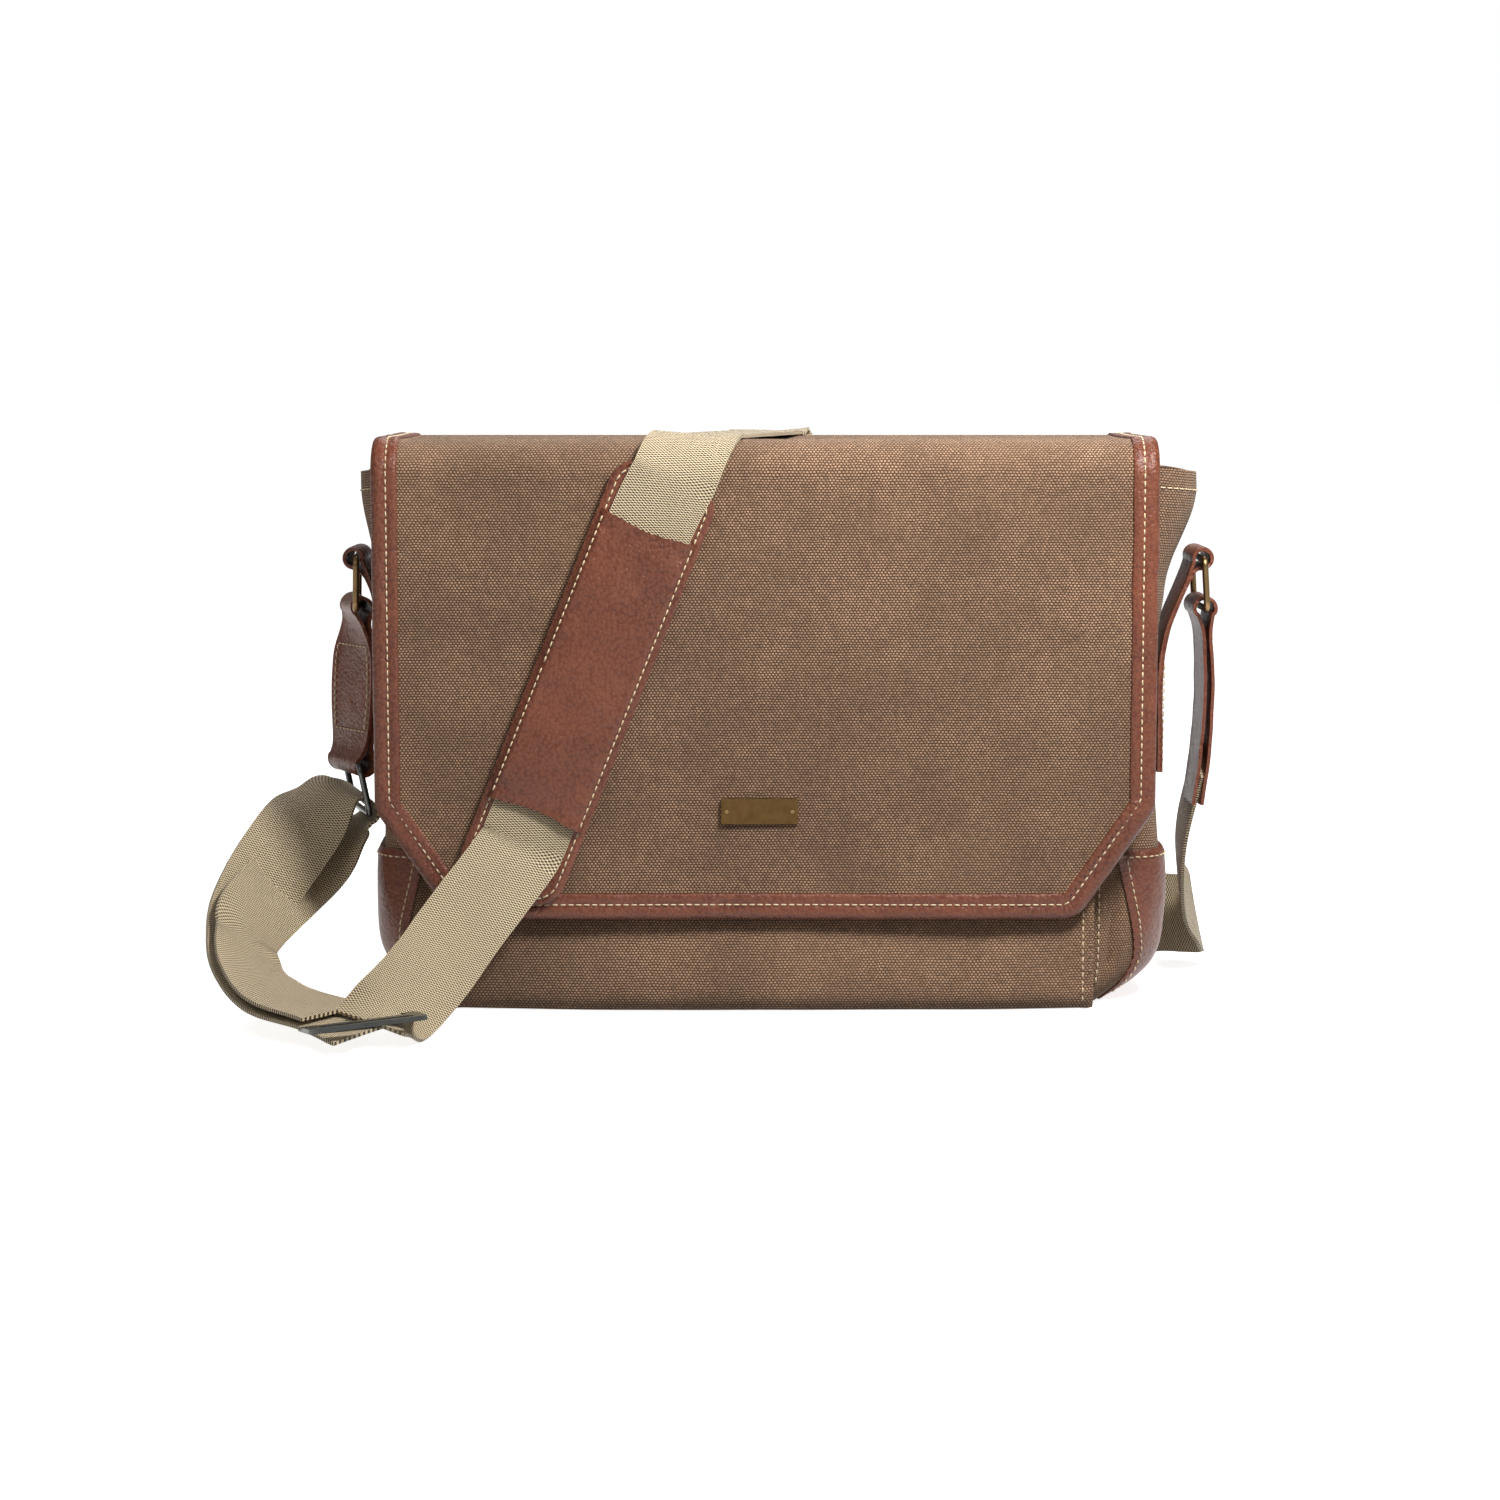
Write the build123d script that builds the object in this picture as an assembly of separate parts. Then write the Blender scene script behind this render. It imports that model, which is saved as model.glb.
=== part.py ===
"""Canvas messenger bag with leather trim, an adjustable webbing strap and a shoulder pad.

Millimetres, +Z up, +X to the wearer's right seen from the front, front face towards -Y.
The origin is on the floor, in the middle of the flat base.
"""
from build123d import *
import os
from math import asin, cos, radians, sin, tan

os.makedirs("parts", exist_ok=True)

# body
BODY_HEIGHT = 256.0
WAIST_HEIGHT = 190.0
BASE_HALF = (185.0, 47.0)
WAIST_HALF = (187.5, 49.0)
RIM_HALF = (197.0, 46.0)
CORNER_RADIUS = 24.0
CANVAS = 2.4
LINING = 1.2
GAP = 0.3
BASE_THICK = 2.6
SEAM_X = 153.0
PATCH_HEIGHT = 74.0
PATCH_X = 172.0
LEATHER = 2.2

# front slip pocket
POCKET_HALF = 150.0
POCKET_HEIGHT = 186.0
POCKET_FRONT = -60.0
POCKET_GUSSET_BACK = -49.8

# flap: its mid line runs forward from the hinge, round the front corner and down
HINGE_Y = 50.0
HINGE_Z = 267.2
FLAP_FRONT = -64.5
FLAP_BEND = 16.0
FLAP_LEFT = -186.0
FLAP_RIGHT = 180.0
FLAP_BOTTOM = 44.0
CHAMFER_RUN = 36.0
CHAMFER_RISE = 52.0
BINDING_WIDTH = 12.3
BINDING_HALF = 2.2
CANVAS_OUT = 1.5
LINING_IN = -0.3

# strap
WEB = 40.0
WEB_THICK = 1.6
STRAP_ANGLE = 22.0
STRAP_X = -43.0
PAD_LENGTH = 213.0
PAD_WIDTH = 51.0
PAD_CENTRE = (-86.0, 155.5)
PAD_BACK = 3.2
PAD_FACE = 2.0
PAD_FACE_LENGTH = 148.0

# rings
RING_BAR = 50.0
RING_HIGH = 27.0
RING_WIRE = 3.0
EYE_INNER = 3.9
EYE_OUTER = 5.6
TAB_WIDTH = 36.0


def save(name, shape):
    """Write one node's STEP file."""
    export_step(shape, f"parts/{name}.step")


def block(x0, x1, y0, y1, z0, z1):
    """Axis-aligned box between two corners."""
    return Pos((x0 + x1) / 2, (y0 + y1) / 2, (z0 + z1) / 2) * Box(x1 - x0, y1 - y0, z1 - z0)


def body_form(inset, bottom, top):
    """Solid of the bag's outline, drawn in by inset, between two heights."""
    rim_slope = (RIM_HALF[0] - WAIST_HALF[0]) / (BODY_HEIGHT - WAIST_HEIGHT)
    over = top - BODY_HEIGHT
    levels = [
        (0.0, BASE_HALF),
        (WAIST_HEIGHT, WAIST_HALF),
        (BODY_HEIGHT + over, (RIM_HALF[0] + rim_slope * over, RIM_HALF[1])),
    ]
    rings = [
        Pos(0, 0, z) * RectangleRounded(2 * (half[0] - inset), 2 * (half[1] - inset), CORNER_RADIUS - inset)
        for z, half in levels
    ]
    form = loft(rings, ruled=True)
    return form & block(-300, 300, -90, 90, bottom, top + 1)


# ---- canvas body -------------------------------------------------------------

shell = body_form(0, BASE_THICK, BODY_HEIGHT) - body_form(CANVAS, 0, BODY_HEIGHT + 20)
front_half = block(-SEAM_X, SEAM_X, -90, 0, 0, 300)
back_half = block(-SEAM_X, SEAM_X, 0, 90, 0, 300)
save("front_panel", shell & front_half)
save("back_panel", shell & back_half)
save("left_gusset", shell & block(-300, -SEAM_X, -90, 90, 0, 300))
save("right_gusset", shell & block(SEAM_X, 300, -90, 90, 0, 300))
save("base_panel", body_form(0, 0, BODY_HEIGHT) & block(-300, 300, -90, 90, 0, BASE_THICK))

board_top = BASE_THICK + 2.0
save("base_board", body_form(CANVAS + GAP, 0, BODY_HEIGHT) & block(-300, 300, -90, 90, BASE_THICK, board_top))

lining_floor = board_top + LINING
lining_outer = body_form(CANVAS + GAP, board_top, BODY_HEIGHT - 2)
lining_inner = body_form(CANVAS + GAP + LINING, lining_floor, BODY_HEIGHT + 20)
save("lining", (lining_outer & block(-300, 300, -90, 90, 0, BODY_HEIGHT - 2)) - lining_inner)

# leather patches wrapped round the lower ends of the gussets
patch_skin = body_form(-LEATHER, 0, BODY_HEIGHT) - body_form(0, -5, BODY_HEIGHT)
for side, name in ((-1, "left_corner_patch"), (1, "right_corner_patch")):
    ends = sorted((side * PATCH_X, side * 300))
    save(name, patch_skin & block(ends[0], ends[1], -90, 90, 0, PATCH_HEIGHT))

# ---- front slip pocket ---------------------------------------------------------

save("front_pocket_panel", block(-POCKET_HALF, POCKET_HALF, POCKET_FRONT, POCKET_FRONT + CANVAS, 0, POCKET_HEIGHT))
pocket_outer = block(
    -POCKET_HALF, POCKET_HALF, POCKET_FRONT + CANVAS, POCKET_GUSSET_BACK, 0, POCKET_HEIGHT - 12
)
pocket_inner = block(-POCKET_HALF + 2, POCKET_HALF - 2, -90, 0, 2, 300)
save("front_pocket_gusset", pocket_outer - pocket_inner)

# ---- things inside --------------------------------------------------------------

SLEEVE_HALF = 158.0
SLEEVE_FRONT = 22.0
SLEEVE_THICK = 5.0
SLEEVE_BACK = 41.0
SLEEVE_TOP = 222.0
sleeve = block(-SLEEVE_HALF, SLEEVE_HALF, SLEEVE_FRONT, SLEEVE_BACK, lining_floor, SLEEVE_TOP)
sleeve -= block(
    -SLEEVE_HALF + 3, SLEEVE_HALF - 3, SLEEVE_FRONT + SLEEVE_THICK, SLEEVE_BACK + 1, lining_floor + 3, 300
)
save("laptop_sleeve", sleeve)

ZIP_Z = 192.0
ZIP_HALF = 100.0
ZIP_POCKET_BOTTOM = 70.0
zip_front = SLEEVE_FRONT - LINING
save(
    "zip_pocket",
    block(-ZIP_HALF - 12, ZIP_HALF + 12, zip_front, SLEEVE_FRONT, ZIP_POCKET_BOTTOM, ZIP_Z - 12),
)
save("zip_tape", block(-ZIP_HALF - 12, ZIP_HALF + 12, zip_front, SLEEVE_FRONT, ZIP_Z - 12, ZIP_Z + 12))
coil_front = zip_front - 1.4
save("zip_coil", block(-ZIP_HALF, ZIP_HALF, coil_front, zip_front, ZIP_Z - 2.5, ZIP_Z + 2.5))
slider_x = -ZIP_HALF + 8
slider_front = coil_front - GAP - 1.6
slider_cap = block(slider_x - 5, slider_x + 5, slider_front, coil_front - GAP, ZIP_Z - 5, ZIP_Z + 5)
bridge_front = slider_front - 2.6
bridge = block(slider_x - 3, slider_x + 3, bridge_front, slider_front, ZIP_Z - 1.2, ZIP_Z + 1.2)
bridge -= block(slider_x - 1.8, slider_x + 1.8, bridge_front + 1, slider_front, ZIP_Z - 2, ZIP_Z + 2)
save("zip_slider", slider_cap + bridge)
pull_y = bridge_front + 1.7
pull = block(slider_x - 4.5, slider_x + 4.5, pull_y - 0.6, pull_y + 0.6, ZIP_Z - 28, ZIP_Z + 0.5)
pull -= block(slider_x - 3.3, slider_x + 3.3, pull_y - 1, pull_y + 1, ZIP_Z - 4, ZIP_Z + 1)
pull -= block(slider_x - 2, slider_x + 2, pull_y - 1, pull_y + 1, ZIP_Z - 25, ZIP_Z - 17)
save("zip_pull", pull)

# ---- flap -----------------------------------------------------------------------


def flap_band(inner, outer):
    """Layer of the closed flap between two offsets from its mid line, wider than the flap."""
    top_end = FLAP_FRONT + FLAP_BEND
    bend_z = HINGE_Z - FLAP_BEND
    half = 0.7071
    low = FLAP_BOTTOM - 2

    def bend_point(offset):
        radius = FLAP_BEND + offset
        return (top_end - radius * half, bend_z + radius * half)

    edges = [
        Line((HINGE_Y, HINGE_Z + outer), (top_end, HINGE_Z + outer)),
        ThreePointArc((top_end, HINGE_Z + outer), bend_point(outer), (FLAP_FRONT - outer, bend_z)),
        Line((FLAP_FRONT - outer, bend_z), (FLAP_FRONT - outer, low)),
        Line((FLAP_FRONT - outer, low), (FLAP_FRONT - inner, low)),
        Line((FLAP_FRONT - inner, low), (FLAP_FRONT - inner, bend_z)),
        ThreePointArc((FLAP_FRONT - inner, bend_z), bend_point(inner), (top_end, HINGE_Z + inner)),
        Line((top_end, HINGE_Z + inner), (HINGE_Y, HINGE_Z + inner)),
        Line((HINGE_Y, HINGE_Z + inner), (HINGE_Y, HINGE_Z + outer)),
    ]
    profile = Plane.YZ * make_face(edges)
    return Pos(-250, 0, 0) * extrude(profile, amount=500, dir=(1, 0, 0))


def flap_outline(inset):
    """Prism of the flap's outline seen from the front, drawn in by inset."""
    slope_inset = inset * 0.62
    corners = [
        (FLAP_LEFT + inset, 300),
        (FLAP_LEFT + inset, FLAP_BOTTOM + CHAMFER_RISE + slope_inset),
        (FLAP_LEFT + CHAMFER_RUN + slope_inset, FLAP_BOTTOM + inset),
        (FLAP_RIGHT - CHAMFER_RUN - slope_inset, FLAP_BOTTOM + inset),
        (FLAP_RIGHT - inset, FLAP_BOTTOM + CHAMFER_RISE + slope_inset),
        (FLAP_RIGHT - inset, 300),
    ]
    face = make_face(Polyline(*corners, close=True))
    low = face.vertices().sort_by(Axis.Y)[:4]
    return extrude(Plane.XZ * fillet(low, 12), amount=150, both=True)


save("flap_canvas", flap_band(LINING_IN, CANVAS_OUT) & flap_outline(BINDING_WIDTH))
save("flap_lining", flap_band(-CANVAS_OUT, LINING_IN) & flap_outline(BINDING_WIDTH))
save("flap_binding", (flap_band(-BINDING_HALF, BINDING_HALF) & flap_outline(0)) - flap_outline(BINDING_WIDTH))

seam_back = block(-170, 170, HINGE_Y - 0.7, HINGE_Y + 1.5, 236, 262)
save("flap_seam_strip", seam_back)

# magnetic closure: discs on the pocket and on the flap's lining
MAGNET_X = 126.0
MAGNET_Z = 86.0


def discs(y0, y1):
    """Pair of discs on the two closure points, between two depths."""
    disc = Pos(0, y1, MAGNET_Z) * extrude(Plane.XZ * Circle(9), amount=y1 - y0)
    return Compound([Pos(-MAGNET_X, 0, 0) * disc, Pos(MAGNET_X, 0, 0) * disc])


save("pocket_magnets", discs(POCKET_FRONT - 1.2, POCKET_FRONT))
save("flap_magnets", discs(FLAP_FRONT + CANVAS_OUT, FLAP_FRONT + CANVAS_OUT + 1.2))

# small metal plate held by two pins
PLATE = (-5.5, 95.4)
flap_face = FLAP_FRONT - CANVAS_OUT
plate = Pos(PLATE[0], flap_face, PLATE[1]) * extrude(Plane.XZ * RectangleRounded(36, 12, 0.8), amount=1.0)
pin_holes = [Pos(PLATE[0] + side * 15.4, flap_face, PLATE[1]) for side in (-1, 1)]
for hole in pin_holes:
    plate -= hole * extrude(Plane.XZ * Circle(1.0), amount=2)
save("name_plate", plate)
save("plate_pins", Compound([hole * extrude(Plane.XZ * Circle(0.95), amount=1.6) for hole in pin_holes]))

# ---- webbing --------------------------------------------------------------------


def catmull(values, steps):
    """Smooth points through a list of vectors."""
    ends = [values[0] * 2 - values[1]] + values + [values[-1] * 2 - values[-2]]
    points = []
    for i in range(1, len(ends) - 2):
        a, b, c, d = ends[i - 1 : i + 3]
        for k in range(steps):
            t = k / steps
            points.append(
                (b * 2 + (c - a) * t + (a * 2 - b * 5 + c * 4 - d) * t**2 + (b * 3 - a - c * 3 + d) * t**3) * 0.5
            )
    return points + [values[-1]]


def ribbon(centres, across, thick=WEB_THICK, width=WEB):
    """Flat strip along a line of points, with the direction of its width at each point."""
    rows = []
    last = len(centres) - 1
    for i, centre in enumerate(centres):
        ahead = (centres[min(i + 1, last)] - centres[max(i - 1, 0)]).normalized()
        wide = (across[i] - ahead * across[i].dot(ahead)).normalized()
        up = ahead.cross(wide)
        mids = [centre + wide * (v * width / 2) for v in (-1, 0, 1)]
        rows.append([m + up * (thick / 2) for m in mids] + [m - up * (thick / 2) for m in reversed(mids)])
    faces = []
    for a, b in zip(rows, rows[1:]):
        for k in range(6):
            n = (k + 1) % 6
            faces.append(Face(Wire.make_polygon([a[k], a[n], b[n]])))
            faces.append(Face(Wire.make_polygon([a[k], b[n], b[k]])))
    for row, pick in ((rows[0], -1), (rows[-1], 1)):
        for quad in ((0, 1, 4, 5), (1, 2, 3, 4)):
            corners = [row[k] for k in quad[::pick]]
            faces.append(Face(Wire.make_polygon(corners[:3])))
            faces.append(Face(Wire.make_polygon([corners[0], corners[2], corners[3]])))
    strip = Solid(Shell(faces))
    return strip if strip.volume > 0 else Solid(Shell([-f for f in faces]))


lean = radians(STRAP_ANGLE)


def draped(run, offset):
    """Point and width direction of webbing laid over the flap, a run along the flap's mid line."""
    top_run = HINGE_Y - FLAP_FRONT - FLAP_BEND
    turn = min(max((run - top_run) / FLAP_BEND, 0), radians(90))
    radius = FLAP_BEND + offset
    down = max(run - top_run - FLAP_BEND * radians(90), 0)
    y = HINGE_Y - min(run, top_run) - radius * sin(turn)
    z = HINGE_Z - FLAP_BEND + radius * cos(turn) - down
    front_run = top_run + FLAP_BEND * radians(90)
    x = STRAP_X + (front_run - run) * tan(lean)
    wide = Vector(cos(lean), -sin(lean) * cos(turn), -sin(lean) * sin(turn))
    return Vector(x, y, z), wide


ON_FLAP = CANVAS_OUT + 0.9 + WEB_THICK / 2
PAD_LIFT = BINDING_HALF + GAP
ON_PAD = PAD_LIFT + PAD_BACK + GAP + WEB_THICK / 2
top_run = HINGE_Y - FLAP_FRONT - FLAP_BEND
laid = [draped(run, ON_FLAP) for run in (0, top_run / 3, top_run * 2 / 3, top_run)]
climb = (ON_PAD - ON_FLAP) / 90
laid += [draped(top_run + FLAP_BEND * radians(a), ON_FLAP + climb * a) for a in range(18, 91, 18)]
front_run = top_run + FLAP_BEND * radians(90)
laid += [draped(front_run + down, ON_PAD) for down in (12, 60, 120, 172)]
tail_points = [
    laid[-1],
    (Vector(-142.5, -92, 46), Vector(0.86, 0, -0.5)),
    (Vector(-156.5, -112, 27.5), Vector(0.85, 0.1, -0.52)),
    (Vector(-169.5, -131, 15), Vector(0.88, 0.25, -0.35)),
    (Vector(-180, -147, 11), Vector(0.93, 0.33, 0.05)),
]
tail_centres = catmull([p[0] for p in tail_points], 4)[1:]
tail_across = catmull([p[1] for p in tail_points], 4)[1:]
save(
    "strap_front_webbing",
    ribbon([p[0] for p in laid] + tail_centres, [p[1] for p in laid] + tail_across),
)

pad_place = Pos(PAD_CENTRE[0], 0, PAD_CENTRE[1])
pad_back_y = FLAP_FRONT - PAD_LIFT
pad_face_y = FLAP_FRONT - ON_PAD - WEB_THICK / 2 - GAP


def pad_plate(length, y, thick):
    """Round-ended leather plate in line with the strap, growing forward from depth y."""
    outline = Plane.XZ * (Rot(0, 0, -STRAP_ANGLE) * RectangleRounded(PAD_WIDTH, length, 9))
    return Pos(0, y, 0) * (pad_place * extrude(outline, amount=thick))


save("pad_backing", pad_plate(PAD_LENGTH, pad_back_y, PAD_BACK))
save("pad_face", pad_plate(PAD_FACE_LENGTH, pad_face_y, PAD_FACE))

# webbing between the left lower ring and the slider, there and back
loop_out = [
    (Vector(-180, -155, 8.2), Vector(0.93, 0.33, 0.05)),
    (Vector(-197, -140, 10.5), Vector(0.8, 0.58, 0.0)),
    (Vector(-223, -120, 13), Vector(0.7, 0.7, -0.05)),
    (Vector(-239, -100, 20), Vector(0.62, 0.75, -0.2)),
    (Vector(-248, -80, 29), Vector(0.55, 0.65, -0.4)),
    (Vector(-250, -62, 41), Vector(0.55, 0.4, -0.6)),
    (Vector(-242, -45, 58), Vector(0.55, 0.1, -0.78)),
    (Vector(-226, -26, 82), Vector(0.5, -0.35, -0.7)),
    (Vector(-214, -11, 97), Vector(0.32, -0.85, -0.3)),
    (Vector(-205, -3, 98), Vector(0.28, -0.95, -0.1)),
]
round_bar = [
    (Vector(-198, 0, 94), Vector(0.276, -0.96, 0.0)),
    (Vector(-194.4, 1, 87.5), Vector(0.276, -0.96, 0.0)),
    (Vector(-199.5, 0, 81.8), Vector(0.276, -0.96, 0.0)),
    (Vector(-209, -5, 77), Vector(0.35, -0.85, -0.25)),
    (Vector(-226, -24, 62), Vector(0.5, -0.3, -0.75)),
]


def inner_layer(stations):
    """The same webbing's way back, a little inside its way out."""
    centres = [p[0] for p in stations]
    back = []
    for i in range(1, len(stations) - 1):
        ahead = (centres[i + 1] - centres[i - 1]).normalized()
        up = ahead.cross(stations[i][1]).normalized()
        space = 3.0 + 0.8 * i
        back.append((centres[i] - up * space, stations[i][1]))
    return list(reversed(back))


loop_way = loop_out + round_bar + inner_layer(loop_out[:7])
save(
    "adjuster_webbing",
    ribbon(catmull([p[0] for p in loop_way], 3), catmull([p[1] for p in loop_way], 3)),
)

# webbing down the back, along the floor behind the bag and up to the right leather end
back_way = [
    (Vector(6, 53.2, 252), Vector(0.927, 0, 0.375)),
    (Vector(40, 55, 190), Vector(0.9, 0.0, 0.42)),
    (Vector(84, 58, 110), Vector(0.8, 0.0, 0.6)),
    (Vector(130, 66, 48), Vector(0.45, 0.0, 0.9)),
    (Vector(175, 76, 25), Vector(0.1, 0.0, 1.0)),
    (Vector(212, 76, 23.5), Vector(0.0, 0.1, 1.0)),
    (Vector(222, 62, 25), Vector(0.0, 0.15, 1.0)),
    (Vector(214, 48, 30), Vector(0.0, 0.3, 1.0)),
    (Vector(203, 36, 46), Vector(0.1, 0.75, 0.7)),
    (Vector(203, 16, 76), Vector(0.05, 0.95, 0.35)),
    (Vector(209, 3, 112), Vector(0.0, 1.0, 0.1)),
]
save(
    "strap_back_webbing",
    ribbon(catmull([p[0] for p in back_way], 4), catmull([p[1] for p in back_way], 4)),
)

# ---- slider ---------------------------------------------------------------------

SLIDER = Vector(-182, -152, 5.6)
bar_way = Vector(0.93, 0.33, 0.06).normalized()
slider_plane = Plane(origin=SLIDER, x_dir=bar_way, z_dir=Vector(-0.1, 0.1, 1).normalized())
frame = extrude(RectangleRounded(54, 30, 4), amount=1.1, both=True)
for side in (-1, 1):
    frame -= Pos(0, side * 7.6, 0) * extrude(RectangleRounded(43, 7.5, 2), amount=3, both=True)
save("strap_slider", slider_plane * (Pos(0, 0, 6.2) * frame))

# ---- rings, tabs and leather ends -----------------------------------------------


def ring(upper, lower, turn):
    """Rectangular wire ring between two bar heights, turned about the vertical."""
    tilt = asin((lower[0] - upper[0]) / (upper[1] - lower[1]))
    frame_shape = RectangleRounded(RING_BAR, RING_HIGH, 5) - RectangleRounded(
        RING_BAR - 2 * RING_WIRE, RING_HIGH - 2 * RING_WIRE, 2.4
    )
    body = extrude(Plane.YZ * frame_shape, amount=RING_WIRE / 2, both=True)
    body = fillet(body.edges(), RING_WIRE * 0.42)
    middle = ((upper[0] + lower[0]) / 2, 0, (upper[1] + lower[1]) / 2)
    return Pos(*middle) * Rot(0, 0, turn) * Rot(0, -tilt * 57.2958, 0) * body


def strip(points, eyes, turn=0.0, about=0.0, thick=3.0):
    """Leather strip seen end-on as a line of (x, z) points, with an eye round each bar."""
    shape = trace(Polyline(*points), line_width=thick)
    for eye in eyes:
        shape += Pos(*eye) * Circle(EYE_OUTER)
    for eye in eyes:
        shape -= Pos(*eye) * Circle(EYE_INNER)
    solid = extrude(Plane.XZ * shape, amount=TAB_WIDTH / 2, both=True)
    return Pos(about, 0, 0) * Rot(0, 0, turn) * Pos(-about, 0, 0) * solid


LEFT_BARS = ((-200.0, 211.0), (-200.5, 187.0), (-204.0, 111.0), (-199.5, 88.0))
RIGHT_BARS = ((207.0, 211.0), (208.5, 187.0))
save("left_ring_tab", strip([(-190.4, 108), (-189.8, 188), (-192.8, 201), (-196.4, 207.4)], [LEFT_BARS[0]]))
save("right_ring_tab", strip([(190.6, 108), (191.4, 176), (203.4, 207.4)], [RIGHT_BARS[0]]))
save("left_ring", ring(LEFT_BARS[0], LEFT_BARS[1], 5))
save("right_ring", ring(RIGHT_BARS[0], RIGHT_BARS[1], 0))
save(
    "left_connector",
    strip([(-200.6, 182.5), (-201.5, 150), (-203.8, 116)], [LEFT_BARS[1], LEFT_BARS[2]], 10, -202),
)
save("left_lower_ring", ring(LEFT_BARS[2], LEFT_BARS[3], 16))
strap_end = strip([(208.5, 181.5), (211, 150), (209.5, 104)], [RIGHT_BARS[1]], thick=4.4)
strap_end -= block(206.8, 212.0, -25, 25, 90, 116)
save("right_strap_end", strap_end)
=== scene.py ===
import math

import bpy
from mathutils import Matrix, Vector, noise


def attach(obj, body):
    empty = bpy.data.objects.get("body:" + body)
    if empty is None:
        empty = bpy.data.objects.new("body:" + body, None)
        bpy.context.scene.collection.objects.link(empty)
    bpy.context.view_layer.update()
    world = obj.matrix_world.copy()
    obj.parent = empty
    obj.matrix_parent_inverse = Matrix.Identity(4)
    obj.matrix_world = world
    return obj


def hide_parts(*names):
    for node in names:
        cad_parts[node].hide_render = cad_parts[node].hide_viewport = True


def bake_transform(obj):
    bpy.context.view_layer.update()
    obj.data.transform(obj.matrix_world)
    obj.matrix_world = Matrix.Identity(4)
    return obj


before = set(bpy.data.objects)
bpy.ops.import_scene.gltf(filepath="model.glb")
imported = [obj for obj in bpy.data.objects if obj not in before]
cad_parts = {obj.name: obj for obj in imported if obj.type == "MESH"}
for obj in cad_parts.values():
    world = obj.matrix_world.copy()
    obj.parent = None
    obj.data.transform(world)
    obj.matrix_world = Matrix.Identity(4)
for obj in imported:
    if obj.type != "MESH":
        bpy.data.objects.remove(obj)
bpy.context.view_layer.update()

# The bag stands on z = 0 with its front towards -Y. Lengths are in metres.
MM = 0.001

# body
HALF_WIDE_BASE = 0.185
HALF_WIDE_WAIST = 0.1875
HALF_DEEP = 0.0485
RIM_Z = 0.256
WAIST_Z = 0.190
CORNER = 0.024
SEAM_X = 0.153
FOOT = 0.0018
CANVAS = 0.0024
PATCH_TOP = 0.074
YARN = (0.00165, 0.00122)

# flap
HINGE = Vector((0, 0.050, 0.2672))
FLAP_FRONT = -0.0645
FLAP_BEND = 0.016
FLAP_LEFT = -0.186
FLAP_RIGHT = 0.180
FLAP_BOTTOM = 0.044
CHAMFER_RUN = 0.036
CHAMFER_RISE = 0.052
BINDING = 0.0123
BACK_RADIUS = 0.003
BACK_TOP = 0.2642
LAID_IN = 0.0075
TOP_RUN = HINGE.y - FLAP_FRONT - FLAP_BEND
FRONT_RUN = TOP_RUN + FLAP_BEND * math.pi / 2
FLAP_END = FRONT_RUN + HINGE.z - FLAP_BEND - FLAP_BOTTOM
HINGE_FROM = (0, 0.0515, 0.262)
HINGE_TO = (0, 0.042, 0.262)

# strap
WEB = 0.040
WEB_THICK = 0.0016
LEAN = math.radians(22)
PAD_LENGTH = 0.213
PAD_WIDTH = 0.051
PAD_X = -0.086
PAD_Z = 0.1555
PAD_CENTRE_RUN = FRONT_RUN + HINGE.z - FLAP_BEND - PAD_Z
SEWN_IN = 0.0034
LOOP_FROM = (-0.200, 0, 0.200)
LOOP_TO = (-0.200, -0.150, 0.008)

# leather tabs
TAB_WIDE = 0.036
TAB_SEAM = 0.0146
TAB_LAYER = 0.0016


# ---- shader maths ------------------------------------------------------------------


class Value:
    """A shader socket that adds a Math node for each operator used on it."""

    def __init__(self, shade, socket):
        self.shade = shade
        self.socket = socket

    def math(self, operation, *others):
        return self.shade.node("ShaderNodeMath", {"operation": operation}, [self, *others])

    def __add__(self, other):
        return self.math("ADD", other)

    def __sub__(self, other):
        return self.math("SUBTRACT", other)

    def __mul__(self, other):
        return self.math("MULTIPLY", other)

    def __truediv__(self, other):
        return self.math("DIVIDE", other)

    def __rsub__(self, other):
        return self.shade.node("ShaderNodeMath", {"operation": "SUBTRACT"}, [other, self])

    __radd__ = __add__
    __rmul__ = __mul__


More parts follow.
